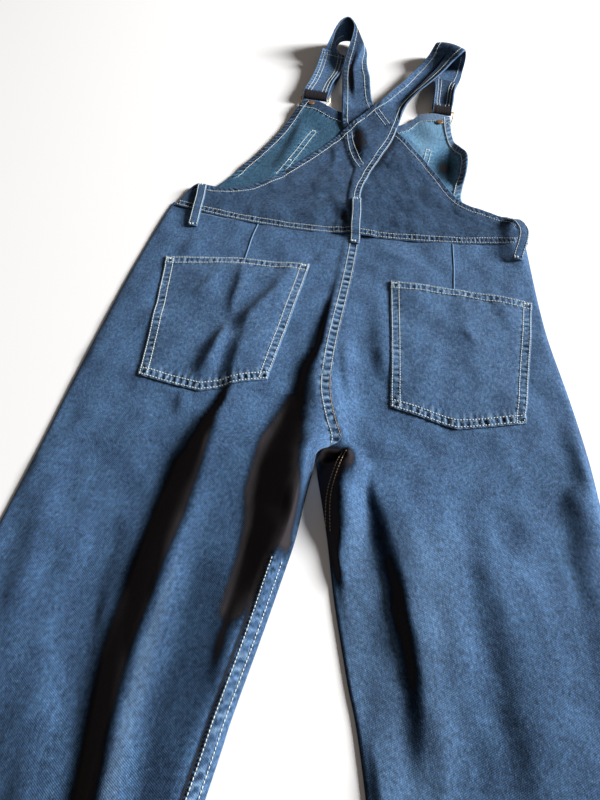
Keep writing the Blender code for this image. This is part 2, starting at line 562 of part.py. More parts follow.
def back_pocket(name, table, leg_upper, finish):
    """A patch pocket on a back panel, made from the panel's points and moved out."""
    rows, columns = 10, 9
    shares = np.linspace(0, 1, columns)
    upper, lower = [], []
    for k, (lx, ly, rx, ry, point) in enumerate(curve_rows(table, rows)):
        x = lx + (rx - lx) * shares
        y = ly + (ry - ly) * shares + point * (1 - np.abs(2 * shares - 1))
        z = np.array([height_over(leg_upper, px, py, POCKET_REACH) for px, py in zip(x, y)]) + GAP + 0.3
        rise = WALL + (POCKET_HEM if k <= 1 else 0.0)
        lower.append(np.stack([x, y, z], 1))
        upper.append(np.stack([x, y, z + rise], 1))
    sheet(name, np.array(upper), np.array(lower), finish)


def belt_loop(name, line, surfaces, finish):
    """A belt loop: a strip on the cloth at both ends, bowed between them."""
    cloth = np.concatenate([grid.reshape(-1, 3) for grid in surfaces])
    half = BELT_LOOP_WIDTH / 2
    upper, lower = [], []
    for x, y, bow in curve_rows(line, 12):
        near = cloth[np.hypot(cloth[:, 0] - x, cloth[:, 1] - y) < BELT_LOOP_REACH]
        z = (near[:, 2].max() if len(near) else YOKE_Z + WALL) + GAP + 0.2 + bow
        lower.append([(x + dx, y, z) for dx in (-half, 0, half)])
        upper.append([(x + dx, y, z + BELT_LOOP_WALL) for dx in (-half, 0, half)])
    sheet(name, np.array(upper, float), np.array(lower, float), finish)


def rivet(name, x, y, low, finish):
    """The back of a button: a low domed disc on the cloth."""
    sides = 14
    rings = [(0.86, 0.0), (1.0, 0.3), (1.0, 0.62), (0.80, 0.9), (0.4, 1.0)]
    turn = np.linspace(0, 2 * math.pi, sides, endpoint=False)
    points = [(x, y, low)]
    for share, level in rings:
        radius = RIVET_RADIUS * share
        z = low + RIVET_HEIGHT * level
        points += [(x + radius * math.cos(t), y + radius * math.sin(t), z) for t in turn]
    points.append((x, y, low + RIVET_HEIGHT))
    turned(name, points, sides, len(rings), finish)


def turned(name, points, sides, rings, finish):
    """A closed body from rings of points between a lower and an upper middle point."""
    faces = []
    for k in range(sides):
        n = (k + 1) % sides
        faces.append((0, 1 + n, 1 + k))
        for r in range(rings - 1):
            a, b = 1 + r * sides, 1 + (r + 1) * sides
            faces.append((a + k, a + n, b + n, b + k))
        last = 1 + (rings - 1) * sides
        faces.append((last + k, last + n, len(points) - 1))
    shifted = (np.array(points, float) - np.array([*ORIGIN, 0.0])) * MM
    mesh = bpy.data.meshes.new(name)
    mesh.from_pydata(shifted.tolist(), [], faces)
    mesh.shade_smooth()
    mesh.set_sharp_from_angle(angle=math.radians(50))
    mesh.materials.append(finish)
    bpy.context.scene.collection.objects.link(bpy.data.objects.new(name, mesh))


def button(name, x, y, finish):
    """The bib button: a domed cap on the surface and the shank up to the cloth, turned as one profile."""
    sides = 14
    top = WALL + CORNER_LIFT
    profile = [(0.8, 0.0), (1.0, 0.9), (1.0, 1.9), (0.9, BUTTON_HEIGHT)]
    shank = SHANK_RADIUS / BUTTON_RADIUS
    profile += [(shank, BUTTON_HEIGHT + 0.01), (shank, top)]
    turn = np.linspace(0, 2 * math.pi, sides, endpoint=False)
    points = [(x, y, 0.0)]
    for share, level in profile:
        radius = BUTTON_RADIUS * share
        points += [(x + radius * math.cos(t), y + radius * math.sin(t), level) for t in turn]
    points.append((x, y, top))
    turned(name, points, sides, len(profile), finish)


def wire(name, route, finish):
    """A closed ring of wire along a route."""
    curve = bpy.data.curves.new(name, "CURVE")
    curve.dimensions = "3D"
    curve.bevel_depth = WIRE_RADIUS * MM
    curve.bevel_resolution = 2
    spline = curve.splines.new("POLY")
    spline.use_cyclic_u = True
    spline.points.add(len(route) - 1)
    for point, (x, y, z) in zip(spline.points, route):
        point.co = ((x - ORIGIN[0]) * MM, (y - ORIGIN[1]) * MM, z * MM, 1.0)
    curve.materials.append(finish)
    bpy.context.scene.collection.objects.link(bpy.data.objects.new(name, curve))


def buckle(side, finish):
    """A wire buckle: the strap's bar, shoulders that draw in, and the eye round the button's shank."""
    (ax, ay), (bx, by) = BUCKLE_BARS[side]
    cx, cy = FASTENINGS[side]
    z = BUTTON_HEIGHT + WIRE_RADIUS + 0.2
    eye = SHANK_RADIUS + WIRE_RADIUS + 0.6
    route = [(ax, ay, BAR_Z), (ax, ay - 5, z + 0.2), (ax + 3, cy + 7, z)]
    route += [(cx - eye, cy + 2, z), (cx - eye, cy - 2, z)]
    route += [(cx - eye * 0.6, cy - eye, z), (cx + eye * 0.6, cy - eye, z)]
    route += [(cx + eye, cy - 2, z), (cx + eye, cy + 2, z)]
    route += [(bx - 3, cy + 7, z), (bx, by - 5, z + 0.2), (bx, by, BAR_Z)]
    wire(f"buckle_{side}", route, finish)


def build():
    clear_scene()
    denim = material("denim", DENIM, 0.85)
    wrong_side = material("denim_wrong_side", DENIM_WRONG_SIDE, 0.9)
    gold = material("pale_gold", GOLD, 0.35, 1.0)
    copper = material("copper", COPPER, 0.4, 1.0)

    legs = {}
    for side in ("left", "right"):
        back_up, back_low, front_up, front_low = leg_surface(side)
        legs[side] = back_up
        sheet(f"back_leg_{side}", back_up, back_low, denim)
        sheet(f"front_leg_{side}", front_up, front_low, denim)

    right_up = yoke("back_yoke_right", YOKE_RIGHT, STRAP_OVER_LEFT, None, denim)
    outline = [(r[0], r[1]) for r in YOKE_RIGHT] + [(r[3], r[4]) for r in reversed(YOKE_RIGHT)]
    left_up = yoke("back_yoke_left", YOKE_LEFT, STRAP_OVER_RIGHT, outline, denim)
    ribbon("strap_return_left", STRAP_RETURN_LEFT, denim)
    ribbon("strap_return_right", STRAP_RETURN_RIGHT, denim)

    bib(wrong_side)
    bib_pocket(denim)
    back_pocket("back_pocket_left", POCKET_LEFT, legs["left"], denim)
    back_pocket("back_pocket_right", POCKET_RIGHT, legs["right"], denim)
    for name, line in BELT_LOOPS.items():
        belt_loop(name, line, (left_up[:YOKE_ROWS], right_up[:YOKE_ROWS], *legs.values()), denim)

    for side, (x, y) in FASTENINGS.items():
        button(f"button_{side}", x, y, gold)
        top = WALL + GAP + CORNER_LIFT + WALL + BIB_HEM + GAP
        rivet(f"rivet_{side}", x, y, top, copper)
        buckle(side, gold)


build()
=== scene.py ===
"""Denim overalls laid face down, seen from the hem end: the cloth, its sewing and its metal, on a pale floor.

Sizes are in millimetres in the garment's own axes, as in the CAD model: x from the centre back seam, y from
the waist to the shoulders, z up off the surface. put() turns them into metres in the frame.
"""
import math

import bpy
import numpy as np
from mathutils import Matrix, Vector, kdtree, noise
from mathutils.bvhtree import BVHTree


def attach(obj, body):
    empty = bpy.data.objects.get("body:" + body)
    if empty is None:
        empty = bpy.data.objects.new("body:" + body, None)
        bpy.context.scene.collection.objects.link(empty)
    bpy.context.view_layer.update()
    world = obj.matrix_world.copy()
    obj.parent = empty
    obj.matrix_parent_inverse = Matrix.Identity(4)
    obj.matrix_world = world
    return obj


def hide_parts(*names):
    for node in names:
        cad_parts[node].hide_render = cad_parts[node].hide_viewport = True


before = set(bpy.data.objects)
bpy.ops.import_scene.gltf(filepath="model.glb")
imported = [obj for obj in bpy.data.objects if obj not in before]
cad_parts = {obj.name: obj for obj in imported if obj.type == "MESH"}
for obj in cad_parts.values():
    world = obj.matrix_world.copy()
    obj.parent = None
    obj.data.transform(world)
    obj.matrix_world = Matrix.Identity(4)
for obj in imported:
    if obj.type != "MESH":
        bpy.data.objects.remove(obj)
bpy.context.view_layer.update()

MM = 0.001
ORIGIN = np.array([28.5, -276.534, 0.0])   # the frame's origin in the garment's axes
WALL = 1.4
STRAP_WALL = 2.2
GAP = 0.35
LAP = 6.0
HEM_Y = -1020.0
HEM_DEPTH = 22.0
CROTCH_Y = -290.0
FRONT_INSET = 4.0
ROLL = 12.0
YOKE_Z = 3.6
SEAM_LEVEL = 7.0        # the folds are level that far on both sides of the centre back seam
NEAR_ROLL = {"left": 7.0, "right": 2.0}  # the folds fade out that close to the inner edges at the crotch
BACK_Z = 1.85           # underside of the back panels
EDGE_ROUND = 6.0        # radius of a leg's rolled edges
INNER_STEEPNESS = {"left": 1.0, "right": 1.8}  # how much tighter the inner ones are

# Leg outlines, from the waist to the hem
OUTER_LEFT = [  # y, x
    (40, -225), (25, -232), (-6, -240), (-64, -250), (-135, -257), (-246, -265), (-317, -269),
    (-399, -275), (-560, -287), (-760, -301), (-1020, -318)]
OUTER_RIGHT = [  # y, x
    (40, 207), (6, 210), (-57, 219), (-113, 227), (-188, 243), (-255, 255), (-320, 263),
    (-400, 277), (-560, 303), (-760, 334), (-1020, 375)]
INNER_LEFT = [  # y, x
    (-300, -5), (-338, -9), (-376, -12), (-412, -18), (-462, -27), (-520, -38), (-560, -44),
    (-760, -76), (-1020, -113)]
INNER_RIGHT = [  # y, x
    (-300, -4), (-316, 0), (-336, 6), (-372, 16), (-422, 28), (-480, 45), (-543, 64), (-760, 114),
    (-1020, 170)]
CENTRE_SEAM = [  # y, x
    (140, 0), (75, -4), (20, 1), (-60, -1), (-160, -7), (-220, -6), (-255, 3), (-275, 12), (-290, 10)]
WAIST_SEAM = [  # x, y
    (-232, 34), (-200, 20), (-160, 14), (-100, 15), (-20, 19), (40, 19), (80, 16), (120, 21),
    (160, 28), (210, 37)]

# Folds in the legs: the middle of the steep left-facing slope from top to bottom, and how far
# the crest falls off
FOLDS = [  # which leg has it, the fall, and rows of x, y, half width of the face, height
    ("both", 30, [
        (-76, -40, 6, 0), (-79, -72, 8, 3), (-85, -94, 8, 6), (-106, -136, 9, 7.5), (-109, -163, 10, 8),
        (-110, -203, 8, 7), (-108, -225, 8, 4), (-108, -250, 8, 0)]),
    ("both", 46, [
        (-106, -209, 5, 3), (-106, -236, 8, 8), (-111, -263, 10, 14), (-121, -298, 14, 18),
        (-124, -340, 18, 19), (-130, -416, 18, 19), (-135, -480, 18, 19), (-131, -536, 17, 19),
        (-125, -584, 15, 18), (-124, -660, 18, 14), (-129, -760, 20, 8), (-138, -860, 22, 0)]),
    ("left", 20, [
        (-14, -60, 4, 0), (-18, -116, 5, 4), (-22, -168, 6, 8), (-30, -194, 10, 11), (-32, -260, 19, 18),
        (-41, -307, 27, 24), (-41, -347, 27, 24), (-39, -366, 25, 22), (-46, -403, 18, 16),
        (-54, -436, 14, 11),
        (-63, -472, 11, 7), (-70, -510, 9, 3), (-74, -550, 9, 0)]),
    ("both", 56, [
        (39, -294, 6, 0), (51, -331, 8.4, 6.5), (63, -366, 11, 9), (75, -399, 10, 10), (83, -430, 9, 10),
        (91, -459, 9, 9), (96, -487, 9, 8), (98, -518, 9, 5), (100, -545, 8, 0)]),
    ("right", 15, [
        (18, -268, 5, 0), (13, -284, 9, 11), (12, -298, 15, 18), (11, -318, 13, 18), (14, -337, 12, 17),
        (19, -356, 10, 14), (22, -373, 7, 9), (24, -391, 5, 5), (31, -423, 4, 2), (42, -467, 4, 0)]),
    ("both", 22, [
        (214, -213, 8, 0), (219, -240, 10, 4), (228, -282, 11, 6), (239, -390, 14, 4), (250, -520, 18, 2),
        (262, -640, 16, 0)]),
    ("both", 50, [(113, -330, 9, 0), (128, -386, 12, 4), (130, -475, 11, 3), (128, -508, 10, 0)]),
    ("both", 40, [
        (-196, -470, 15, 0), (-187, -530, 16, 3), (-174, -585, 17, 8), (-172, -680, 20, 8),
        (-180, -800, 24, 5), (-186, -900, 24, 0)]),
    ("both", 50, [
        (170, -640, 30, 0), (176, -720, 34, 3), (184, -820, 34, 6), (196, -920, 30, 7), (206, -1020, 26, 5)]),
    ("both", 44, [
        (-210, -760, 14, 0), (-214, -840, 18, 4), (-220, -930, 20, 6), (-226, -1020, 20, 6)]),
]

# Where the two great folds of the left leg lie in deep shade
DEEP_SHADE = [  # y, left x, right x
    [(-262, -112, -104), (-318, -139, -104), (-380, -145, -108), (-488, -151, -121), (-600, -138, -119),
     (-760, -131, -125)],
    [(-222, -41, -33), (-284, -59, -20), (-340, -62, -16), (-365, -57, -18), (-400, -55, -30),
     (-455, -59, -47)]]

# Small creases: how far each falls off past its crest, and rows of x, y, half width, height
HIP_CREASES = [
    (14, [(-127, -56, 2.3, 0), (-126, -77, 4.6, 2.4), (-126, -98, 4.5, 3), (-127, -116, 4.4, 2.6),
         (-125, -145, 4.3, 0)]),
    (11, [(-125, -145, 4.3, 0), (-130, -165, 6.4, 3.5), (-136, -191, 7.3, 4.5),
         (-139, -206, 7.2, 4), (-143, -223, 5.1, 0)]),
    (10, [(-152, -78, 3.4, 0), (-162, -97, 4.5, 1.3), (-172, -119, 4.4, 0)]),
    (10, [(-152, -236, 4, 0), (-151, -254, 4.9, 1.6), (-150, -277, 4.8, 0)]),
    (10, [(6, -152, 3.2, 0), (6, -178, 4.2, 2), (12, -209, 4, 2.2), (22, -240, 3.9, 0)]),
    (14, [(33, -87, 6.7, 0), (36, -133, 9, 2), (43, -172, 8, 2.4), (56, -214, 7, 0)]),
    (12, [(31, -10, 4.8, 0), (58, -22, 5.9, 1.4), (92, -33, 4.7, 0)]),
    (9, [(-26, -11, 3.6, 0), (-37, -28, 3.5, 1.2), (-49, -45, 3.5, 0)]),
    (20, [(150, -52, 6.8, 0), (168, -79, 9, 1.8), (186, -117, 6.5, 0)]),
    (9, [(125, -110, 2.2, 0), (136, -128, 3.2, 1.1), (148, -143, 2.1, 0)]),
    (14, [(-196, -16, 4.8, 0), (-200, -41, 7.1, 1.4), (-202, -69, 4.6, 0)]),
    (14, [(-214, -127, 4.4, 0), (-215, -148, 6.5, 1.4), (-217, -171, 4.3, 0)]),
    (16, [(183, 33, 7.3, 0), (193, 11, 10, 2.2), (199, -18, 5.8, 0)]),
]
SHIN_FOLDS = [
    (34, [(138, -360, 14, 0), (146, -405, 20, 5), (159, -434, 22, 7), (165, -476, 22, 8),
         (171, -515, 24, 4.5), (176, -580, 26, 2.5), (182, -660, 26, 0)]),
]
YOKE_CREASES = [
    (14, [(-42, 90, 8, 0), (-33, 68, 10, 2.2), (-20, 46, 8, 1)]),
    (6, [(-20, 70, 2.5, 0), (-17, 48, 3.7, 1.3), (-10, 23, 3.7, 0)]),
    (10, [(-80, 117, 6, 0), (-56, 92, 6, 1.1), (-21, 88, 5, 0)]),
    (9, [(-50, 192, 2.7, 0), (-44, 159, 4, 1), (-44, 127, 3.9, 0)]),
    (9, [(42, 201, 2.7, 0), (36, 167, 4, 1.2), (26, 139, 4, 0)]),
    (9, [(118, 84, 5.1, 0), (131, 66, 6.2, 1.8), (150, 56, 4.9, 0)]),
    (8, [(181, 82, 3.8, 0), (184, 63, 5, 2), (187, 46, 3.7, 0)]),
    (12, [(-27, 244, 4.3, 0), (-16, 210, 6.9, 3), (-10, 176, 6.8, 3), (-1, 156, 4, 0)]),
    (14, [(52, 73, 7.6, 0), (68, 62, 10, 1.2), (91, 59, 7.5, 0)]),
    (12, [(-114, 64, 6.3, 0), (-121, 44, 7.5, 1), (-126, 26, 4.9, 0)]),
]
BIB_CREASES = [
    (14, [(-100, 244, 4.3, 0), (-104, 214, 5.6, 2.5), (-110, 180, 6.8, 3), (-118, 139, 6.7, 2),
         (-125, 112, 5.2, 0)]),
]
BIB_POCKET_SEAMS = [  # middle of each double row: x, y
    [(-78, 213), (-84, 195), (-91, 170), (-100, 142), (-112, 112)],
    [(85, 197), (83, 180), (80, 161), (78, 140)]]
CROSSING = [  # rows of stitches through both straps where they cross
    [(-30, 210), (-27, 193), (-22, 173), (-13, 153), (-3, 138)],
    [(-24, 213), (-21, 197), (-16, 180), (-8, 160), (0, 147)],
    [(3, 268), (12, 252), (23, 233)], [(9, 272), (18, 256), (28, 238)]]
INSEAM = [(19, -286), (13, -310), (10, -336), (14, -366)]
DARTS = {"left": [(-120, 14), (-123, -18), (-124, -52)], "right": [(120, 17), (122, -20), (123, -60)]}

# Back yoke halves, from the waist seam up
YOKE_LEFT = [  # lx, ly, lz, rx, ry, rz, bow
    (-230, 30, 0, 7, 13, 0, -9), (-223, 52, -0.9, 5, 34, 0, -5), (-212, 73, -0.2, 3, 54, 0, -2),
    (-188, 71, 0, 2, 72, 0, 0), (-165, 74, 0, 1, 86, 0, 0), (-145, 82, 0, 2, 98, 0, 0),
    (-128, 94, 0, 4, 109, 0, 0), (-112, 110, 0, 7, 121, 0, 0), (-95, 133, 0, 10, 135, 0, 0),
    (-75, 160, 0, 15, 150, 0, 0), (-55, 190, 0, 22, 170, 0, 0), (-40, 213, 1.0, 29, 190, 1.0, 0),
    (-22, 243, 2.2, 35, 212, 1.9, 0), (-5, 272, 3.6, 39, 238, 2.4, 0), (5, 288, 4.6, 42, 258, 3, 0)]
YOKE_RIGHT = [  # lx, ly, lz, rx, ry, rz, bow
    (-5, 13, 0, 212, 33, 0, -7), (-7, 38, 0, 207, 55, -0.9, -4), (-8, 58, 0, 197, 72, -0.2, -2),
    (-9, 72, 0, 178, 77, 0, 0), (-9, 86, 0, 158, 83, 0, 0), (-9, 100, 0, 143, 87, 0, 0),
    (-8, 114, 0, 130, 95, 0, 0), (-7, 127, 0, 115, 116, 0, 0), (-6, 139, 0, 100, 143, 0, 0),
    (-14, 158, 0, 83, 169, 0, 0), (-21, 176, 0, 68, 192, 0, 0), (-26, 194, 0.4, 54, 214, 0.4, 0),
    (-30, 211, 1.1, 36, 233, 1.1, 0), (-37, 226, 1.5, 17, 256, 1.5, 0), (-43, 246, 2.0, 4, 276, 2.2, 0)]

# Straps past the crossing
STRAP_OVER_RIGHT = [  # lx, ly, lz, mx, my, mz, rx, ry, rz
    (16, 303, 13, 32, 294, 5, 46, 284, 12), (28, 324, 14, 44, 314, 5, 58, 306, 13),
    (40, 346, 14, 57, 337, 6, 73, 328, 14), (52, 372, 14, 69, 361, 8, 88, 352, 15),
    (64, 396, 15, 82, 385, 11, 101, 374, 17), (74, 414, 19, 93, 406, 19, 112, 391, 24),
    (80, 427, 24, 101, 418, 30, 121, 399, 32), (84, 439, 25, 105, 427, 32, 127, 407, 34),
    (86, 447, 19, 107, 434, 25, 130, 411, 25), (87, 449, 11, 108, 435, 14, 131, 412, 14),
    (87, 442, 5, 108, 426, 6, 130, 405, 6), (86, 415, 3, 107, 402, 3, 128, 388, 3),
    (87, 380, 3, 106, 374, 3, 123, 366, 4), (88, 350, 9, 103, 350, 3, 119, 347, 9),
    (88, 327, 11, 102, 327, 3, 116, 325, 11), (87, 305, 10, 101, 305, 3, 115, 304, 10),
    (86, 295, 7, 100, 295, 4, 114, 295, 7)]
STRAP_OVER_LEFT = [  # lx, ly, lz, mx, my, mz, rx, ry, rz
    (-46, 284, 8, -25, 288, 5, -3, 297, 7), (-50, 322, 9, -30, 322, 6, -8, 326, 8),
    (-53, 348, 11, -34, 348, 6, -11, 350, 8), (-54, 368, 17, -37, 368, 8, -16, 372, 7),
    (-52, 388, 25, -36, 390, 12, -20, 398, 6), (-49, 402, 33, -35, 412, 18, -22, 422, 6),
    (-47, 418, 39, -34, 436, 20, -28, 443, 6), (-47, 435, 43, -39, 450, 23, -38, 455, 5),
    (-52, 447, 45, -48, 459, 25, -48, 462, 5), (-59, 452, 46, -58, 463, 26, -58, 464, 5),
    (-67, 445, 44, -69, 456, 24, -68, 458, 5), (-73, 433, 40, -76, 440, 20, -72, 441, 4),
    (-79, 418, 33, -74, 420, 15, -63, 422, 4), (-86, 402, 21, -74, 404, 9, -58, 405, 4),
    (-92, 386, 9, -76, 386, 5, -56, 386, 4), (-95, 360, 5, -77, 360, 4, -57, 360, 4),
    (-99, 330, 4, -81, 330, 4, -63, 330, 4), (-104, 301, 4, -87, 300, 4, -68, 299, 4)]
STRAP_RETURN_RIGHT = [  # lx, ly, lz, mx, my, mz, rx, ry, rz
    (88, 289, 3, 101, 288, 3, 114, 288, 3), (87, 282, 8, 101, 282, 8, 114, 282, 8),
    (87, 292, 12, 101, 292, 11, 114, 291, 12), (87, 305, 15, 101, 305, 8, 115, 304, 15),
    (88, 327, 16, 102, 327, 8, 116, 325, 16), (88, 350, 13, 103, 350, 8, 119, 347, 13),
    (88, 372, 8, 106, 370, 8, 123, 362, 8)]
STRAP_RETURN_LEFT = [  # lx, ly, lz, mx, my, mz, rx, ry, rz
    (-104, 294, 3, -88, 293, 3, -69, 292, 3), (-104, 287, 8, -88, 286, 8, -69, 286, 8),
    (-105, 298, 12, -87, 297, 11, -68, 296, 11), (-99, 330, 13, -81, 330, 8, -65, 330, 11),
    (-95, 360, 14, -77, 360, 9, -57, 360, 11), (-93, 384, 17, -76, 386, 11, -55, 386, 11),
    (-91, 398, 24, -74, 403, 17, -56, 404, 12)]

# Bib
BIB = [  # lx, ly, rx, ry
    (-222, 41, 203, 43), (-214, 62, 196, 60), (-195, 69, 168, 72), (-182, 85, 140, 86),
    (-170, 106, 131, 104), (-160, 127, 132, 125), (-150, 147, 135, 147), (-137, 177, 136, 177),
    (-127, 203, 128, 200), (-117, 237, 117, 232), (-110, 257, 114, 252), (-103, 281, 113, 272)]
BIB_TOP = [  # x, shift in y of the top edge
    (-110, 2), (-80, 0), (-62, -8), (-47, -12), (0, -26), (42, -26), (56, -16), (68, 2), (90, 6), (115, 2)]
# Back pockets, top to bottom
POCKET_LEFT = [  # lx, ly, rx, ry, shift of the middle in y
    (-217, -61, -46, -48, 5), (-212, -105, -51, -92, 0), (-207, -148, -56, -135, -3),
    (-203, -190, -61, -176, -7), (-199, -231, -66, -217, -16)]
POCKET_RIGHT = [  # lx, ly, rx, ry, shift of the middle in y
    (49, -57, 211, -64, 3), (52, -100, 208, -106, 0), (55, -143, 204, -147, -3),
    (58, -186, 200, -187, -8), (61, -228, 195, -226, -16)]

STRAP_FOLDS = {  # shares of the width that the fold climbs between, its height and the row where it ends
    "left": (0.52, 0.68, 4.5, 80), "right": (0.30, 0.50, 5.0, 72)}

BELT_LOOPS = {  # x, y of the middle line and its height over the cloth
    "left": [(-204, 71, 0), (-203, 64, 2.0), (-201, 45, 2.6), (-200, 22, 2.2), (-199, 5, 1.6), (-199, -5, 0)],
    "centre": [(-3, 74, 0), (-3, 66, 1.4), (-1, 45, 2.0), (0, 22, 1.8), (2, 6, 1.4), (2, -3, 0)],
    "right": [(191, 70, 0), (197, 62, 6.0), (203, 46, 10.0), (202, 28, 9.0), (198, 10, 4.0), (196, 0, 0)],
}
BELT_LOOP_WIDTH = 12.0
BELT_LOOP_WALL = 1.8
FASTENINGS = {"left": (-90, 273), "right": (98, 258)}
CORNER_LIFT = 5.2

# Where the columns of a sheet lie near its edges
EDGE_STEPS = (0, 0.5, 1.2, 2.2, 3.4, 4.8, 6.4, 8.2, 10.2)
BIB_STEPS = (0, 0.5, 1.2, 2.2, 3.4, 4.8, 6.4, 8.2, 9.6, 10.6, 11.2, 12.4)
POCKET_STEPS = (0, 0.5, 1.2, 2.2, 3.2, 4.2, 5.6, 7.2, 8.6, 9.8, 11.0, 12.2)
LOOP_STEPS = (0, 0.3, 0.8, 1.5, 2.4, 3.4)

# Sewing
STITCH = 3.1            # one stitch and the space after it
THREAD = 0.52           # radius of the thread
ROW_IN = 2.2            # a row of stitches lies that far inside an edge
WAIST_ROW = 2.6         # the first row over the waist seam
ROWS_APART = 7.0
CREASED = 1.6           # how sharply the hips are creased


def smooth(low, high, value):
    t = np.clip((np.asarray(value, float) - low) / (high - low), 0.0, 1.0)
    return t * t * (3 - 2 * t)


def along(table, at):
    places, values = (np.array(column, float) for column in zip(*table))
    order = np.argsort(places)
    return np.interp(at, places[order], values[order])


def lengths_along(grid, axis=0):
    """Distances to each point from the start of a line, or from the first row or column of a grid."""
    steps = np.linalg.norm(np.diff(grid, axis=axis), axis=-1)
    return np.concatenate([np.zeros_like(steps.take([0], axis)), np.cumsum(steps, axis=axis)], axis=axis)


def bell(value, width, power=2):
    """1 at zero and fading out past the width; a higher power gives a flatter top."""
    return np.exp(-(value / width) ** power)


def spot(x, y, middle, size, power=2):
    """1 in the middle of an oval and fading out past its half width and half height."""
    return bell(x - middle[0], size[0], power) * bell(y - middle[1], size[1], power)


def curve_rows(table, rows):
    """The table's rows resampled evenly to a count, on a Catmull-Rom curve through them."""
    keys = np.array(table, float)
    length = lengths_along(keys)
    places = np.linspace(0, length[-1], rows)
    k = np.clip(np.searchsorted(length, places, side="right") - 1, 0, len(keys) - 2)
    t = ((places - length[k]) / (length[k + 1] - length[k]))[:, None]
    p0, p1 = keys[np.maximum(k - 1, 0)], keys[k]
    p2, p3 = keys[k + 1], keys[np.minimum(k + 2, len(keys) - 1)]
    return 0.5 * (2 * p1 + (p2 - p0) * t + (2 * p0 - 5 * p1 + 4 * p2 - p3) * t * t
                  + (3 * p1 - p0 - 3 * p2 + p3) * t ** 3)


def from_segment(a, b, x, y):
    """The share of a segment where points come nearest to it, and their offsets from there."""
    dx, dy = b[0] - a[0], b[1] - a[1]
    t = np.clip(((x - a[0]) * dx + (y - a[1]) * dy) / max(dx * dx + dy * dy, 1e-9), 0, 1)
    return t, x - a[0] - t * dx, y - a[1] - t * dy


def slope(rows, fall, x, y, samples=30):
    """Height of one fold: a steep face across its line and a soft fall beyond the crest."""
    line = curve_rows(rows, samples)
    best = np.full(np.shape(x), 1e9)
    across, half, height = (np.zeros(np.shape(x)) for _ in range(3))
    for a, b in zip(line, line[1:]):
        t, ox, oy = from_segment(a, b, x, y)
        distance = np.hypot(ox, oy)
        side = np.where(ox * (b[1] - a[1]) - oy * (b[0] - a[0]) > 0, -1.0, 1.0)
        nearer = distance < best
        best = np.where(nearer, distance, best)
        across = np.where(nearer, side * distance, across)
        half = np.where(nearer, a[2] + (b[2] - a[2]) * t, half)
        height = np.where(nearer, a[3] + (b[3] - a[3]) * t, height)
    face = smooth(0, 1, (across + half) / (2 * half))
    beyond = np.clip(across - half, 0, None)
    return np.clip(height, 0, None) * face * bell(beyond, fall)


def relief(side, x, y):
    """Height that the folds lift both layers of a leg by; some belong to one leg only."""
    seam = along(CENTRE_SEAM, y)
    held = SEAM_LEVEL * smooth(CROTCH_Y - 10, CROTCH_Y + 10, y)
    level_at_seam = x - np.clip(x - seam + held, 0, 2 * held)
    height = np.zeros(np.shape(x))
    for only, fall, rows in FOLDS:
        if only == "right":
            clear = smooth(LAP, LAP + 8, x - seam)
            here = slope(rows, fall, x, y) * np.maximum(clear, smooth(CROTCH_Y + 4, CROTCH_Y - 8, y))
        else:
            here = slope(rows, fall, level_at_seam, y)
        if only not in ("both", side):
            here = here * smooth(CROTCH_Y - 6, CROTCH_Y + 22, y)
        height = np.maximum(height, here)
    return height


def creases(table, x, y):
    return sum(slope(rows, fall, x, y, 12) for fall, rows in table)


def ripple(x, y, size, height, seed):
    """Soft uneven waves of about the given size."""
    flat = np.stack([np.ravel(x) / size, np.ravel(y) / size, np.full(np.size(x), seed * 7.31)], 1)
    values = np.array([noise.noise(Vector(p)) for p in flat])
    return height * values.reshape(np.shape(x))


def normals_of(grid):
    normal = np.cross(np.gradient(grid, axis=1), np.gradient(grid, axis=0))
    return normal / np.maximum(np.linalg.norm(normal, axis=2, keepdims=True), 1e-9)


def at_inset(grid, inset):
    """The point of each row of a grid that lies at a distance from the row's start."""
    return np.array([[np.interp(inset, places, row[:, k]) for k in range(3)]
                     for places, row in zip(lengths_along(grid, 1), grid)])


def quads_of(grid):
    """The faces of a grid, as rows of four indices."""
    index = np.arange(grid.shape[0] * grid.shape[1]).reshape(grid.shape[:2])
    return np.stack([index[:-1, :-1], index[1:, :-1], index[1:, 1:], index[:-1, 1:]], -1).reshape(-1, 4)


def put(points):
    return (np.asarray(points, float) - ORIGIN) * MM


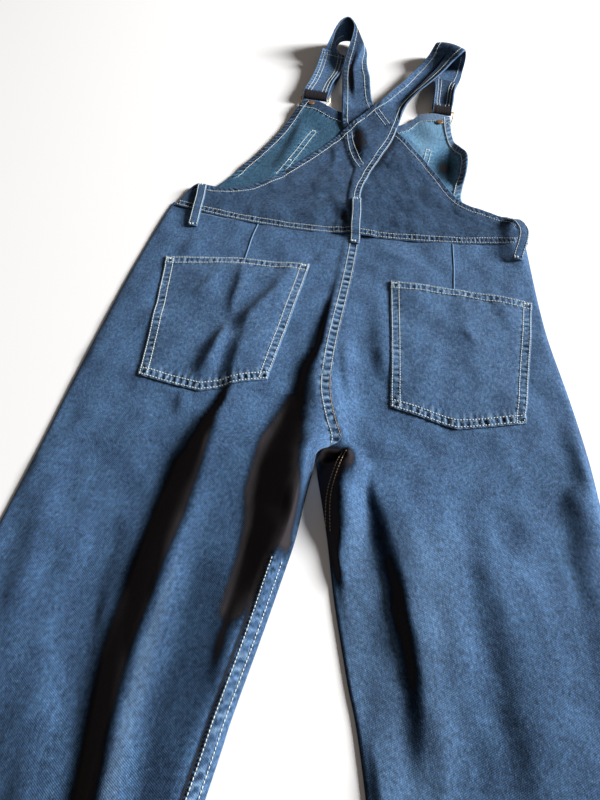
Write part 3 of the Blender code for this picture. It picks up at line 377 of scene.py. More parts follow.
class Cloth:
    def __init__(self, name, upper, lower):
        self.name, self.upper, self.lower = name, np.array(upper, float), np.array(lower, float)
        self.rows = []          # rows of stitches: (points, normals)
        self.wear_and_shade = np.zeros(self.upper.shape[:2])
        self.turned = None      # where the upper face shows the other side of the cloth
        self.tone = np.zeros(self.upper.shape[:2])     # added to the wear and shade: painted shade below 0, fading and painted highlights above 0, uneven tone both ways
        # Painted shade on the underside of the cloth
        self.painted_underside_shade = 0.0

    def edge_row(self, side, inset, start=0.0, end=1.0):
        """Points at a distance inside an edge, between two shares of the sheet's length."""
        grid = self.upper if side == "left" else self.upper[:, ::-1]
        first, last = int(start * (len(grid) - 1)), int(end * (len(grid) - 1))
        return at_inset(grid[first:last + 1], inset)

    def inset_row(self, side, inset, start, end):
        """The same with the distance square to the edge in plan, for edges that run across the rows."""
        edge = resample(self.edge_row(side, 0.0, start, end), 2.0)[:, :2]
        ahead = np.gradient(edge, axis=0)
        ahead /= np.linalg.norm(ahead, axis=1, keepdims=True)
        inward = np.stack([ahead[:, 1], -ahead[:, 0]], 1) * (1 if side == "left" else -1)
        for _ in range(4):
            inward[1:-1] = (inward[:-2] + inward[1:-1] + inward[2:]) / 3
        return drape(edge + inset * inward, self.upper)

    def cross_row(self, inset, end="top"):
        """Points at a distance inside the first or last row, across the sheet."""
        grid = self.upper if end == "top" else self.upper[::-1]
        return at_inset(grid.transpose(1, 0, 2), inset)

    def sew(self, line, pucker=0.5, reach=6.0, pitch=6.8, thread=True, depth=0.5, slant=0.25):
        """Adds a row of stitches along a line: a groove, with puckers beside it, their crests rubbed pale and
        their hollows given painted shade.
        """
        line = resample(line, 1.5)
        if len(line) < 3:
            return
        if thread:
            self.rows.append(line)
        index, d, place, sideways = self.beside(line, 3 * reach)
        s = (place + slant * sideways) / pitch
        wave = np.sin(6.283 * s + 1.3 * np.sin(1.34 * s + 1.0) + 0.8 * np.sin(2.73 * s))
        wave = wave * (0.75 + 0.25 * np.sin(0.9 * s + 2.0))
        beside = bell(d, reach) * (1 - bell(d, 1.5))
        self.change(index, pucker * wave * beside - depth * bell(d, 1.1),
                    (0.10 + 0.8 * wave) * bell(d, 0.75 * reach))

    def ladder(self, line, half=3.6, pitch=6.6, depth=0.5, strength=1.0, slant=0.0):
        """Puckers along a line between two rows: pits dented and given painted shade, between rubbed rungs."""
        line = resample(line, 1.0)
        index, d, place, sideways = self.beside(line, 1.8 * half)
        s = (place / 1.5 + slant * sideways) / pitch
        wave = np.sin(6.283 * s + 0.7 * np.sin(1.1 * s + 0.4) + 0.4 * np.sin(2.3 * s))
        uneven = 0.72 + 0.28 * np.sin(1.37 * s + 1.0)
        pit = np.clip(wave + 0.15, 0, None) * uneven * bell(d, 0.72 * half, 4)
        rung = np.clip(0.1 - wave, 0, None) * uneven * bell(d, 1.15 * half, 4)
        self.change(index, 0.6 * depth * rung - depth * pit, strength * (1.15 * rung - 1.35 * pit))

    def beside(self, line, reach):
        """The points within reach of a line: their indices, distances, places along it and signed sides."""
        tree = kdtree.KDTree(len(line))
        for k, point in enumerate(line):
            tree.insert(point, k)
        tree.balance()
        tangent = np.gradient(line, axis=0)
        tangent /= np.linalg.norm(tangent, axis=1, keepdims=True)
        flat = self.upper.reshape(-1, 3)
        near = ((flat > line.min(axis=0) - reach) & (flat < line.max(axis=0) + reach)).all(axis=1)
        index, nearest, distance = [], [], []
        for v in np.where(near)[0]:
            _, k, d = tree.find(flat[v])
            if d <= reach:
                index.append(v)
                nearest.append(k)
                distance.append(d)
        index, nearest = np.array(index, int), np.array(nearest, int)
        offset = flat[index] - line[nearest]
        sideways = tangent[nearest, 0] * offset[:, 1] - tangent[nearest, 1] * offset[:, 0]
        return index, np.array(distance), nearest * 1.5, sideways

    def change(self, index, lift, wear_and_shade):
        """Moves points of the upper face along its normal and marks them rubbed pale or with painted shade."""
        shape = self.upper.shape[:2]
        normal = normals_of(self.upper)
        if normal[..., 2].mean() < 0:
            normal = -normal
        # worn holds the wear and the painted shade of these points
        moved, worn = np.zeros(self.upper[..., 0].size), np.zeros(self.upper[..., 0].size)
        moved[index], worn[index] = lift, wear_and_shade
        self.upper += normal * moved.reshape(shape)[..., None]
        self.mark(np.maximum(worn.reshape(shape), -1.25))

    def mark(self, wear_and_shade):
        self.wear_and_shade = np.where(np.abs(wear_and_shade) > np.abs(self.wear_and_shade), wear_and_shade, self.wear_and_shade)

    def finish(self, top, bottom, flat, held="laid", rests_on=(), area=None, slot="denim", with_pieces=()):
        """Makes the mesh in place of the CAD node of the same name, with wear, tone and painted light as one
        attribute; the rubbed edges get their pale line.
        """
        # Wear and tone add up, but the deepest painted shade stays as deep
        worn = np.maximum(self.wear_and_shade + self.tone, np.minimum(self.wear_and_shade, -1.3))
        for rim in (worn[:, :2], worn[:, -2:], worn[:1], worn[-1:]):
            rim[:] = np.maximum(rim, 0.35)
        piece = closed_mesh(self.name, self.upper, self.lower, worn, self.painted_underside_shade, top, bottom,
                            self.turned)
        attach(piece, "root")
        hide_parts(self.name.removeprefix("cloth_"))
        return piece


def resample(line, step):
    """A line's points laid out anew, evenly at a step."""
    line = np.asarray(line, float)
    length = lengths_along(line)
    places = np.arange(0, length[-1], step)
    return np.stack([np.interp(places, length, line[:, k]) for k in range(3)], 1)


def link(name, data):
    made = bpy.data.objects.new(name, data)
    bpy.context.scene.collection.objects.link(made)
    return made


def closed_mesh(name, upper, lower, wear_and_shade, painted_underside_shade, top, bottom, turned=None):
    """A closed wall between two grids, with its cloth coordinates and its wear, tone, painted light and painted
    shade as attributes.
    """
    rows, columns = upper.shape[:2]
    index = np.arange(rows * columns).reshape(rows, columns)
    over = quads_of(upper)
    under = over[:, [0, 3, 2, 1]] + index.size
    rim = np.concatenate([index[0, :-1], index[:-1, -1], index[-1, :0:-1], index[:0:-1, 0]])
    after = np.roll(rim, -1)
    faces = np.concatenate([over, under, np.stack([rim, after, after + index.size, rim + index.size], -1)])
    points = put(np.concatenate([upper.reshape(-1, 3), lower.reshape(-1, 3)]))
    corner = points[over[:, 0]]
    if np.cross(points[over[:, 1]] - corner, points[over[:, 3]] - corner)[:, 2].sum() < 0:
        faces = faces[:, ::-1]
    mesh = bpy.data.meshes.new(name)
    mesh.vertices.add(len(points))
    mesh.vertices.foreach_set("co", points.ravel())
    mesh.loops.add(faces.size)
    mesh.loops.foreach_set("vertex_index", faces.ravel())
    mesh.polygons.add(len(faces))
    mesh.polygons.foreach_set("loop_start", np.arange(len(faces)) * 4)
    mesh.materials.append(top)
    mesh.materials.append(bottom)
    which = np.zeros(len(faces), int)
    which[len(over):2 * len(over)] = 1
    if turned is not None:
        which[:len(over)] = turned[:-1, :-1].ravel()
    mesh.polygons.foreach_set("material_index", which)
    mesh.update(calc_edges=True)
    mesh.shade_smooth()

    across = lengths_along(upper, 1)
    across -= across[:, -1:] / 2
    down = lengths_along(upper[:, columns // 2])[:, None] + 0 * across
    cloth = np.stack([across, down, 0 * across], -1)
    attribute = mesh.attributes.new("cloth", "FLOAT_VECTOR", "POINT")
    attribute.data.foreach_set("vector", np.concatenate([cloth, cloth]).ravel())
    # The upper face keeps its wear with painted light and shade; the under face has only painted shade
    attribute = mesh.attributes.new("wear_and_shade", "FLOAT", "POINT")
    attribute.data.foreach_set("value", np.concatenate([wear_and_shade.ravel(), (wear_and_shade * 0 + painted_underside_shade).ravel()]))
    return link(name, mesh)


def rounded_edges(upper, lower, radius=0.9):
    """Rounds the long edges of a sheet: the outer columns of the upper grid sink towards the lower one."""
    for side in (1, -1):
        grid_up, grid_low = upper[:, ::side], lower[:, ::side]
        d = np.linalg.norm((grid_up - grid_up[:, :1])[..., :2], axis=2)
        grid_up += (grid_low - grid_up) * 0.55 * np.sqrt(np.clip(1 - d / radius, 0, 1))[..., None]


# Materials

def feed(tree, socket, value):
    """Sets an input to a number, a vector or a colour, or links another node's output to it."""
    if isinstance(value, bpy.types.NodeSocket):
        tree.links.new(value, socket)
    elif socket.type == "RGBA":
        socket.default_value = (*value, 1.0)
    else:
        socket.default_value = value


def node(tree, kind, inputs=None, **settings):
    made = tree.nodes.new(kind)
    for key, value in settings.items():
        setattr(made, key, value)
    for key, value in (inputs or {}).items():
        feed(tree, made.inputs[key], value)
    return made


def new_material(name, roughness, metallic=0.0):
    made = bpy.data.materials.new(name)
    made.use_nodes = True
    shader = made.node_tree.nodes["Principled BSDF"]
    shader.inputs["Roughness"].default_value = roughness
    shader.inputs["Metallic"].default_value = metallic
    return made, made.node_tree, shader


def noise_of(tree, vector, scale, detail, roughness=0.6):
    inputs = {"Vector": vector, "Scale": scale, "Detail": detail, "Roughness": roughness}
    return node(tree, "ShaderNodeTexNoise", inputs).outputs["Fac"]


def math_of(tree, operation, *values, clamp=False):
    made = node(tree, "ShaderNodeMath", dict(enumerate(values)), operation=operation, use_clamp=clamp)
    return made.outputs[0]


def mix_colour(tree, factor, a, b, blend="MIX"):
    made = node(tree, "ShaderNodeMix", data_type="RGBA", blend_type=blend)
    for key, value in (("Factor", factor), ("A", a), ("B", b)):
        feed(tree, made.inputs[key], value)
    return made.outputs["Result"]


def ramp(tree, factor, low, high):
    made = node(tree, "ShaderNodeMapRange", {"Value": factor, "From Min": low, "From Max": high})
    return made.outputs["Result"]


TWILL_ANGLE = math.radians(58)
HOLLOW = (0.038, 0.034, 0.038)     # the colour of deep shade between folds
PIT = (0.004, 0.003, 0.003)        # and of the deepest, which the lamp would still reach
GRAINS = (  # stretch along and across the cloth, detail and roughness: weft flecks, uneven yarn, cloudy dye
    ((0.95, 0.5, 1.0), 2, 0.8), ((0.36, 0.22, 1.0), 3, 0.7), ((0.05, 0.022, 1.0), 4, 0.55))


def denim(name, dark, light, faded, speck=1.0):
    """Indigo twill: diagonal ribs, pale flecks of weft, cloudy dye, rubbed ridges, painted highlights, and
    painted shade in the hollows between folds.
    """
    made, tree, shader = new_material(name, 0.88)
    cloth = node(tree, "ShaderNodeAttribute", attribute_name="cloth").outputs["Vector"]
    # This attribute holds wear and painted light: above 0 rubbed paleness and painted highlights, below 0
    # painted shade
    wear_and_shade = node(tree, "ShaderNodeAttribute", attribute_name="wear_and_shade").outputs["Fac"]
    turned = node(tree, "ShaderNodeMapping", {"Vector": cloth, "Rotation": (0, 0, TWILL_ANGLE)})
    turned = turned.outputs["Vector"]
    rib = node(tree, "ShaderNodeTexWave", {"Vector": turned, "Scale": 0.26, "Distortion": 1.6, "Detail": 1.0},
               wave_type="BANDS", bands_direction="X").outputs["Fac"]
    grains = []
    for stretch, detail, roughness in GRAINS:
        stretched = node(tree, "ShaderNodeMapping", {"Vector": cloth, "Scale": stretch}).outputs["Vector"]
        grains.append(noise_of(tree, stretched, 1.0, detail, roughness))
    fleck, grain, cloud = grains

    base = mix_colour(tree, ramp(tree, cloud, 0.32, 0.70), dark, light)
    base = mix_colour(tree, math_of(tree, "MULTIPLY", ramp(tree, fleck, 0.50, 0.85), 0.50 * speck), base, faded)
    shade = math_of(tree, "MULTIPLY_ADD", rib, 0.40, 0.80)
    rough = math_of(tree, "MULTIPLY_ADD", grain, 2.6, -0.28)
    base = mix_colour(tree, 1.0, base, math_of(tree, "MULTIPLY", shade, rough), "MULTIPLY")
    # Rubbed paleness and painted highlights both mix towards the faded colour
    rubbed_and_painted_light = math_of(tree, "MULTIPLY", wear_and_shade, math_of(tree, "ADD", grain, 0.25), clamp=True)
    base = mix_colour(tree, rubbed_and_painted_light, base, faded)
    # Painted shade: darker below 0, then the shade colours, with less sheen and specular there
    painted_dimming = math_of(tree, "MULTIPLY_ADD", wear_and_shade, 0.8, 1.0, clamp=True)
    base = mix_colour(tree, 1.0, base, painted_dimming, "MULTIPLY")
    for strength, shift, colour in ((-2.5, -2.35, HOLLOW), (-3.5, -4.7, PIT)):
        factor = math_of(tree, "MULTIPLY_ADD", wear_and_shade, strength, shift, clamp=True)
        base = mix_colour(tree, factor, base, colour)

    height = math_of(tree, "ADD", math_of(tree, "MULTIPLY", rib, 0.5), math_of(tree, "MULTIPLY", fleck, 1.1))
    bump = node(tree, "ShaderNodeBump", {"Height": height, "Strength": 0.6, "Distance": 0.00045})
    for key, value in (("Base Color", base), ("Normal", bump.outputs["Normal"]),
                       ("Specular IOR Level", math_of(tree, "MULTIPLY", painted_dimming, 0.15)),
                       ("Sheen Weight", math_of(tree, "MULTIPLY", painted_dimming, 0.05)), ("Sheen Roughness", 0.5)):
        feed(tree, shader.inputs[key], value)
    return made


def thread_material(name, low, high):
    made, tree, shader = new_material(name, 0.7)
    grain = noise_of(tree, node(tree, "ShaderNodeTexCoord").outputs["Object"], 900.0, 2)
    feed(tree, shader.inputs["Base Color"], mix_colour(tree, ramp(tree, grain, 0.3, 0.7), low, high))
    shader.inputs["Specular IOR Level"].default_value = 0.2
    return made


def metal_material(name, colour, worn, roughness):
    made, tree, shader = new_material(name, roughness, 1.0)
    cloud = noise_of(tree, node(tree, "ShaderNodeTexCoord").outputs["Object"], 260.0, 4)
    feed(tree, shader.inputs["Base Color"], mix_colour(tree, ramp(tree, cloud, 0.35, 0.7), colour, worn))
    feed(tree, shader.inputs["Roughness"], ramp(tree, cloud, -0.6, 1.6))
    return made


# Cloth pieces

def leg_edges(side):
    """x of a leg's outer edge and of its back and front panels' inner edges, as functions of y."""
    sign = SIGN[side]
    outer, inner = LEG_OUTLINES[side]

    def back_inner(y):
        above = along(CENTRE_SEAM, y) - sign * LAP
        return above + (along(inner, y) - above) * smooth(CROTCH_Y + 20, CROTCH_Y - 10, y)

    def front_inner(y):
        below = along(inner, np.minimum(y, CROTCH_Y - 6)) + sign * FRONT_INSET
        return sign * 0.2 + (below - sign * 0.2) * smooth(CROTCH_Y + 35, CROTCH_Y + 5, y)

    return (lambda y: along(outer, y)), back_inner, front_inner


def smoothed(table, step=6.0):
    """A two-column table redrawn on a smooth curve, so that outlines have no corners."""
    rows = curve_rows(table, max(4, int(abs(table[-1][0] - table[0][0]) / step)))
    return [tuple(row) for row in rows]


SIGN = {"left": -1, "right": 1}
LEG_OUTLINES = {"left": (smoothed(OUTER_LEFT), smoothed(INNER_LEFT)),
                "right": (smoothed(OUTER_RIGHT), smoothed(INNER_RIGHT))}
CENTRE_SEAM, WAIST_SEAM = smoothed(CENTRE_SEAM), smoothed(WAIST_SEAM)


def leg_rows(levels, x):
    """y of a leg panel's points: the first row follows the waist seam, and the rows level out below it."""
    return levels[:, None] + (along(WAIST_SEAM, x) + 3.0 - levels[0]) * smooth(-70, 12, levels)[:, None]


def below_crotch(levels):
    return smooth(CROTCH_Y - 8, CROTCH_Y - 26, levels)[:, None]


def leg_rise(side, x, y, below, from_outer, from_inner, inset=0.0):
    """What the folds lift a leg panel by, less at the outer edge and, below the crotch, the inner one."""
    near_crotch = NEAR_ROLL[side]
    reach = near_crotch + (ROLL - near_crotch) * smooth(-350, -420, y) + inset
    rise = relief(side, x, y) * smooth(0, ROLL, from_outer)
    return rise * (1 - below + below * smooth(0, reach, from_inner))


def back_columns(width):
    """Distances of a back panel's columns from its outer edge, close together near both edges."""
    near_edge = np.array([0, 0, 0.5, 1.2, 2.2, 3.5, 5, 7, 9.5])
    near_seam = np.array([12.5, 11.5, 10.5, 9.5, 8.5, 7.5, 6.5, 5.5, 4.5, 3.5, 2.6, 1.8, 1.0, 0.4, 0, 0])
    middle = near_edge[-1] + (width - near_edge[-1] - near_seam[0]) * np.linspace(0, 1, 78)[1:-1]
    return np.concatenate([near_edge, middle, width - near_seam])


def rolled_edge(distance, z_up, z_low):
    """Brings both faces down to the surface at an edge, on a quarter round."""
    arc = np.sqrt(1 - (1 - np.clip(distance / EDGE_ROUND, 0, 1)) ** 2)
    return 0.15 + (z_up - 0.15) * arc, 0.1 + (z_low - 0.1) * arc


def back_leg(side):
    outer, inner, _ = leg_edges(side)
    sign = SIGN[side]
    levels = np.concatenate([np.arange(12, -300, -2.0), np.arange(-300, -590, -3.0),
                             np.arange(-590, HEM_Y - 1, -7.0)])
    levels[-1] = HEM_Y
    x0, x1 = outer(levels), inner(levels)
    width = np.abs(x1 - x0)
    d = np.stack([back_columns(w) for w in width])
    x = x0[:, None] - sign * d
    y = leg_rows(levels, x)
    from_inner = width[:, None] - d
    below = below_crotch(levels)
    fine = (CREASED * creases(HIP_CREASES, x, y) + creases(SHIN_FOLDS, x, y) + ripple(x, y, 40, 2.4, 1)
            + ripple(x, y, 17, 0.9, 2) + 1.0
            + ripple(x + 0.12 * y, 0.22 * y, 30, 4.0, 3) * smooth(-260, -420, y))
    fine = np.maximum(fine, -0.2) * smooth(0, 10, d) * smooth(0, 12, from_inner)
    z_low = BACK_Z + leg_rise(side, x, y, below, d, from_inner) + fine
    if side == "left":
        above = 1 - smooth(CROTCH_Y + 2, CROTCH_Y - 9, levels)[:, None]
        z_low = z_low + (WALL + GAP) * above * smooth(22, 14, from_inner)
    z_up = z_low + WALL + 0.8 * (levels < HEM_Y + HEM_DEPTH)[:, None]
    z_up, z_low = rolled_edge(d, z_up, z_low)
    up_inner, low_inner = rolled_edge(from_inner * INNER_STEEPNESS[side], z_up, z_low)
    z_up, z_low = z_up + (up_inner - z_up) * below, z_low + (low_inner - z_low) * below
    upper, lower = np.stack([x, y, z_up], -1), np.stack([x, y, z_low], -1)
    # The very edge: the wall's thickness is drawn inwards
    drawn = np.array([1.4, 1.3, 1.0, 0.5])
    lower[:, :4, 0] -= sign * drawn
    lower[:, -4:, 0] += sign * drawn[::-1] * below
    upper[:, -1, 2] -= (1 - below[:, 0]) * 0.5
    upper[:, 0, 2] = 0.1
    cloth = Cloth(f"cloth_back_leg_{side}", upper, lower)
    # Painted shade on the faces that rise to the right and so face away from the lamp
    run = np.gradient(x, axis=1)
    steep = np.gradient(z_low, axis=1) / np.where(np.abs(run) < 1e-6, 1.0, run)
    cloth.mark(-1.3 * smooth(0.24, 0.72, steep) * (smooth(8, 14, d) if side == "left" else 1.0))
    if side == "left":
        sew_centre_seam(cloth, upper, levels)
        shade_left_leg(cloth, x, y, from_inner)
        sew_inseam(cloth, upper, levels[levels < -398], inner)
    else:
        shade_right_leg(cloth, x, y)
        for offset in (0.0, 3.6):
            cloth.sew(drape(curve_rows(INSEAM, 40) + (offset, 0), upper), 0.1, 1.0)
    hem = np.stack([x[-1], y[-1] + HEM_DEPTH - 2], 1)[3:-3]
    cloth.sew(drape(hem, upper), 0.4, 5.0)
    return cloth


def sew_centre_seam(cloth, upper, levels):
    """Two rows of stitches with puckers between them; the lower length has the orange thread."""
    for first, last in ((20, -205), (-205, CROTCH_Y + 3)):
        part = levels[(levels < first) & (levels > last)]
        seam = np.stack([along(CENTRE_SEAM, part), part], 1)
        for offset in (-4.3, 4.2):
            cloth.sew(drape(seam + (offset, 0), upper), 0.5, 4.0, pitch=9.5, slant=0.6)
        cloth.ladder(drape(seam, upper), 4.2, 8.0, 0.9, 0.95, 0.1)


def sew_inseam(cloth, upper, levels, inner):
    """The left leg's inseam, which shows below the knee: two rows, puckers and the seam's step, with painted
    shade along the step.
    """
    seam = np.stack([inner(levels), levels], 1)
    for inset in (4.4, 12.4):
        cloth.sew(drape(seam - (inset, 0), upper), 0.3, 3.0, pitch=8.0)
    cloth.ladder(drape(seam - (8.4, 0), upper), 4.0, 9.0, 0.5, 0.6, 0.7)
    # The step: a groove with painted shade along it
    index, distance, _, _ = cloth.beside(drape(seam - (15.6, 0), upper), 4.0)
    cloth.change(index, -0.8 * bell(distance, 1.2), -1.5 * bell(distance, 1.3))


def shade_left_leg(cloth, x, y, from_inner):
    """Painted shade, deep in the two great folds and softer between them and along the inner edge, and a
    painted highlight along the outer fold's crest lower down.
    """
    for shade in DEEP_SHADE:
        begin, end = (along([(row[0], row[k]) for row in shade], y) for k in (1, 2))
        lengthwise = smooth(shade[-1][0], shade[-1][0] + 12, y) * smooth(shade[0][0], shade[0][0] - 12, y)
        cloth.mark(-1.36 * smooth(begin - 9, begin + 8, x) * smooth(end + 6, end - 6, x) * lengthwise)
    cloth.mark(-1.5 * spot(x, y, (-23, -352), (8, 38), 4))
    beside_ridge = smooth(-104, -84, x) * smooth(-230, -310, y) * smooth(12, 28, from_inner)
    cloth.tone -= (0.56 + 0.36 * smooth(-360, -450, y)) * beside_ridge
    cloth.tone -= 0.7 * bell(y + 347, 30) * smooth(34, 16, from_inner)
    cloth.tone -= 0.48 * smooth(26, 16, from_inner) * smooth(-372, -384, y) * smooth(-480, -395, y)
    cloth.tone += 0.2 * bell(x + 111, 9) * smooth(-380, -440, y)


def shade_right_leg(cloth, x, y):
    """Painted shade in the notch under the crotch and beyond the knee's fold, and a painted highlight on the
    ridge before it.
    """
    cloth.mark(-1.7 * spot(x, y, (13, -293), (18, 12), 4))
    cloth.tone -= 0.3 * smooth(150, 180, x) * smooth(-380, -430, y) * (1 - 0.6 * smooth(-500, -560, y))
    cloth.tone += 0.08 * smooth(25, 40, x) * smooth(150, 110, x) * smooth(-330, -370, y)
    cloth.tone -= 0.9 * spot(x, y, (25, -306), (8, 15))


def height_at(tree, x, y):
    """Height of the highest face of a tree at a place, or None beside it."""
    hit = tree.ray_cast(Vector((x, y, 200.0)), Vector((0, 0, -1)))[0]
    return None if hit is None else hit.z


def drape(line, grid):
    """Gives a line in plan its height on a grid, and leaves out the points beside it."""
    line = np.asarray(line, float)
    quads = quads_of(grid)
    points = grid.reshape(-1, 3)
    corner = points[quads[:, 0], :2]
    near = ((corner > line.min(axis=0) - 30) & (corner < line.max(axis=0) + 30)).all(axis=1)
    tree = BVHTree.FromPolygons([Vector(p) for p in points], quads[near].tolist())
    heights = [height_at(tree, x, y) for x, y in line]
    return np.array([(x, y, z) for (x, y), z in zip(line, heights) if z is not None])


def front_leg(side):
    """The hidden front panel: a plain wall under the back one."""
    outer, _, inner = leg_edges(side)
    levels = np.linspace(12, HEM_Y, 170)
    x0, x1 = outer(levels) - SIGN[side] * FRONT_INSET, inner(levels)
    x = x0[:, None] + (x1 - x0)[:, None] * np.linspace(0, 1, 60)
    y = leg_rows(levels, x)
    from_outer = np.abs(x - outer(levels)[:, None])
    from_inner = np.abs(x1[:, None] - x) + FRONT_INSET
    rise = leg_rise(side, x, y, below_crotch(levels), from_outer, from_inner, FRONT_INSET)
    lower = np.stack([x, y, rise], -1)
    cloth = Cloth(f"cloth_front_leg_{side}", lower + (0, 0, WALL), lower)
    # Painted shade in the crotch, where the front panel shows between the back ones
    cloth.mark(-1.7 * spot(x, y, (6, -298), (28, 20), 4))
    return cloth


def inside_outline(outline, x, y):
    """Distance of points to an outline: above 0 inside it and below 0 outside."""
    best = np.full(np.shape(x), 1e9)
    crossings = np.zeros(np.shape(x), int)
    for a, b in zip(outline, outline[1:] + outline[:1]):
        _, ox, oy = from_segment(a, b, x, y)
        best = np.minimum(best, np.hypot(ox, oy))
        if a[1] != b[1]:
            crossed = ((a[1] > y) != (b[1] > y)) & (x < a[0] + (y - a[1]) * (b[0] - a[0]) / (b[1] - a[1]))
            crossings = crossings + crossed
    return np.where(crossings % 2 == 1, best, -best)


def outline_of(table):
    """A closed outline from rows of left and right points."""
    return [(row[0], row[1]) for row in table] + [(row[3], row[4]) for row in reversed(table)]


def edge_shares(across, columns, near=EDGE_STEPS):
    """Shares across a sheet, close together near both edges."""
    near = np.array(near) / across
    inner = np.linspace(near[-1], 1 - near[-1], columns - 2 * len(near) + 2)[1:-1]
    return np.concatenate([near, inner, 1 - near[::-1]])


def rows_across(body, columns, near):
    """For each row of left x, left y, right x and right y: the shares across it, and x and y there."""
    for row in body:
        lx, ly, rx, ry = row[:4]
        shares = edge_shares(abs(rx - lx), columns, near)
        yield shares, lx + (rx - lx) * shares, ly + (ry - ly) * shares, row


def strap_section(row, columns, near=EDGE_STEPS):
    """Points across a strap, through its left, middle and right points, and the shares of its width."""
    left, middle, right = row[0:3], row[3:6], row[6:9]
    shares = edge_shares(np.linalg.norm(middle - left) + np.linalg.norm(right - middle), columns, near)
    part = shares[:, None]
    straight = left * (1 - part) + right * part
    return straight + (middle - (left + right) / 2) * 4 * part * (1 - part), shares


def yoke_rows(table, columns):
    """Rows of a yoke half from the waist seam up: bowed at the waist, with drooping or lifted corners."""
    rows = []
    for lx, ly, lz, rx, ry, rz, bow in curve_rows(table, 601)[[*range(0, 36, 2), *range(36, 601, 5)]]:
        shares = edge_shares(math.hypot(rx - lx, ry - ly), columns)
        x = lx + (rx - lx) * shares
        y = ly + (ry - ly) * shares + bow * 4 * shares * (1 - shares)
        droop = lz * (1 - smooth(0, 0.12, shares)) if lz < 0 else lz * (1 - shares)
        droop = droop + (rz * smooth(0.88, 1, shares) if rz < 0 else rz * shares)
        rows.append(np.stack([x, y, YOKE_Z + droop], 1))
    return np.array(rows)


def strap_rows(side, table, columns):
    """Rows of a strap past the crossing, with the fold along it, and the shares of the last row's width."""
    low_share, high_share, fold_height, fold_end = STRAP_FOLDS[side]
    rows = []
    for k, row in enumerate(curve_rows(table, 160)):
        section, shares = strap_section(row, columns)
        fade = smooth(0, 22, k) * smooth(fold_end, fold_end - 30, k)
        section[:, 2] += fold_height * fade * smooth(low_share, high_share, shares)
        rows.append(section)
    return np.array(rows), shares


def yoke(side, table, strap, over, columns=136):
    """A yoke half that runs on as its strap; over is the outline of the half that it lies on, if any."""
    tail, shares = strap_rows(side, strap, columns)
    body = yoke_rows(table, columns)
    count = len(body)
    x, y = body[..., 0].copy(), body[..., 1].copy()
    if over is not None:
        body[..., 2] += (WALL + GAP + 0.2) * smooth(-9, -2, inside_outline(over, x, y))
    body[..., 2] += (WALL + GAP) * smooth(28, 21, np.abs(x)) * smooth(40, 30, y)
    k = np.arange(count)[:, None]
    fine = (1.2 * creases(YOKE_CREASES, x, y) + ripple(x, y, 30, 2.6, 5)
            + ripple(x + 0.25 * y, 0.5 * y, 14, 1.1, 6) + 0.5)
    body[..., 2] += np.maximum(fine, 0) * smooth(0, 14, k) * smooth(count, count - 30, k)
    lower = np.concatenate([body, tail])
    # The seam from yoke to strap is one cloth: its kink is smoothed away
    first, last = count - 14, count + 14
    for _ in range(12):
        beside = lower[first - 1:last - 1] + lower[first + 1:last + 1]
        lower[first:last] = 0.5 * lower[first:last] + 0.25 * beside
    rows = np.arange(len(lower))[:, None]
    thickness = WALL + (STRAP_WALL - WALL) * smooth(count - 40, count, rows)[..., None]
    normal = normals_of(lower)
    if normal[0, 0, 2] < 0:
        normal = -normal
    upper = lower + normal * thickness
    rounded_edges(upper, lower)
    cloth = Cloth(f"cloth_back_yoke_{side}", upper, lower)
    turn = count + 84      # the row where the strap turns over and shows its under face
    # Painted shade on the strap's underside, lifted where the strap turns over and shows it
    cloth.painted_underside_shade = -1.2 + 1.15 * smooth(turn - 6, turn + 6, rows)
    for edge in ("left", "right"):
        line = Cloth("under", lower, upper).edge_row(edge, 8.5, (turn + 2) / len(lower), 1.0)
        cloth.rows.append(resample(line, 1.5))
    shade_yoke(cloth, side, lower, rows, shares, count, turn)
    return cloth, count / len(lower)


def shade_yoke(cloth, side, lower, rows, shares, count, turn):
    """Painted shade on the straps' steps, beside the strap on top and under the crossing; the yoke is also
    darker overall, with uneven tone.
    """
    x, y = lower[..., 0], lower[..., 1]
    run = np.maximum(np.linalg.norm(np.gradient(lower, axis=1), axis=2), 1e-6)
    step = np.gradient(lower[..., 2], axis=1) / run
    cloth.mark(-0.8 * smooth(0.20, 0.55, step) * smooth(0.02, 0.06, np.minimum(shares, 1 - shares)))
    # Darker overall, the body more than the strap, with uneven tone
    cloth.tone[:] = np.where(rows < count, -0.45, -0.2) + ripple(x, y, 4.0, 0.24, 8)
    if side == "right":
        # Painted shade along the left part of this strap and in a band beside the strap on top
        shaded = smooth(count, count + 20, rows) * smooth(turn + 4, turn - 14, rows)
        reach = 0.46 + 0.2 * smooth(count + 20, count + 64, rows)
        cloth.tone -= 0.72 * shaded * smooth(reach, reach - 0.12, shares)
        gap = np.minimum(inside_outline(outline_of(YOKE_LEFT), x, y), 0)
        cloth.tone -= (0.1 + 0.6 * bell(gap, 7) * smooth(110, 160, y)) * (rows < count)
    else:
        # Painted shade in a stroke by the crossing and a patch under it
        cloth.tone -= 0.7 * bell(x + 9 - 0.21 * (198 - y), 8) * bell(y - 198, 30, 4)
        cloth.tone -= 0.2 * spot(x, y, (2, 265), (22, 22))


def strap_return(side, table, columns=36):
    middle = np.array([strap_section(row, columns, EDGE_STEPS[:7])[0] for row in curve_rows(table, 90)])
    half = normals_of(middle) * STRAP_WALL / 2
    return Cloth(f"cloth_strap_return_{side}", middle + half, middle - half)


def bib_rise(x, y):
    """Height of the bib over the surface: its corners lie on the buckles, and its right side is cupped."""
    height = 13 * smooth(116, 135, x) * smooth(118, 150, y) * smooth(250, 205, y)
    for bx, by in FASTENINGS.values():
        height = np.maximum(height, CORNER_LIFT * bell(np.hypot(x - bx, y - by), 36, 4))
    return height


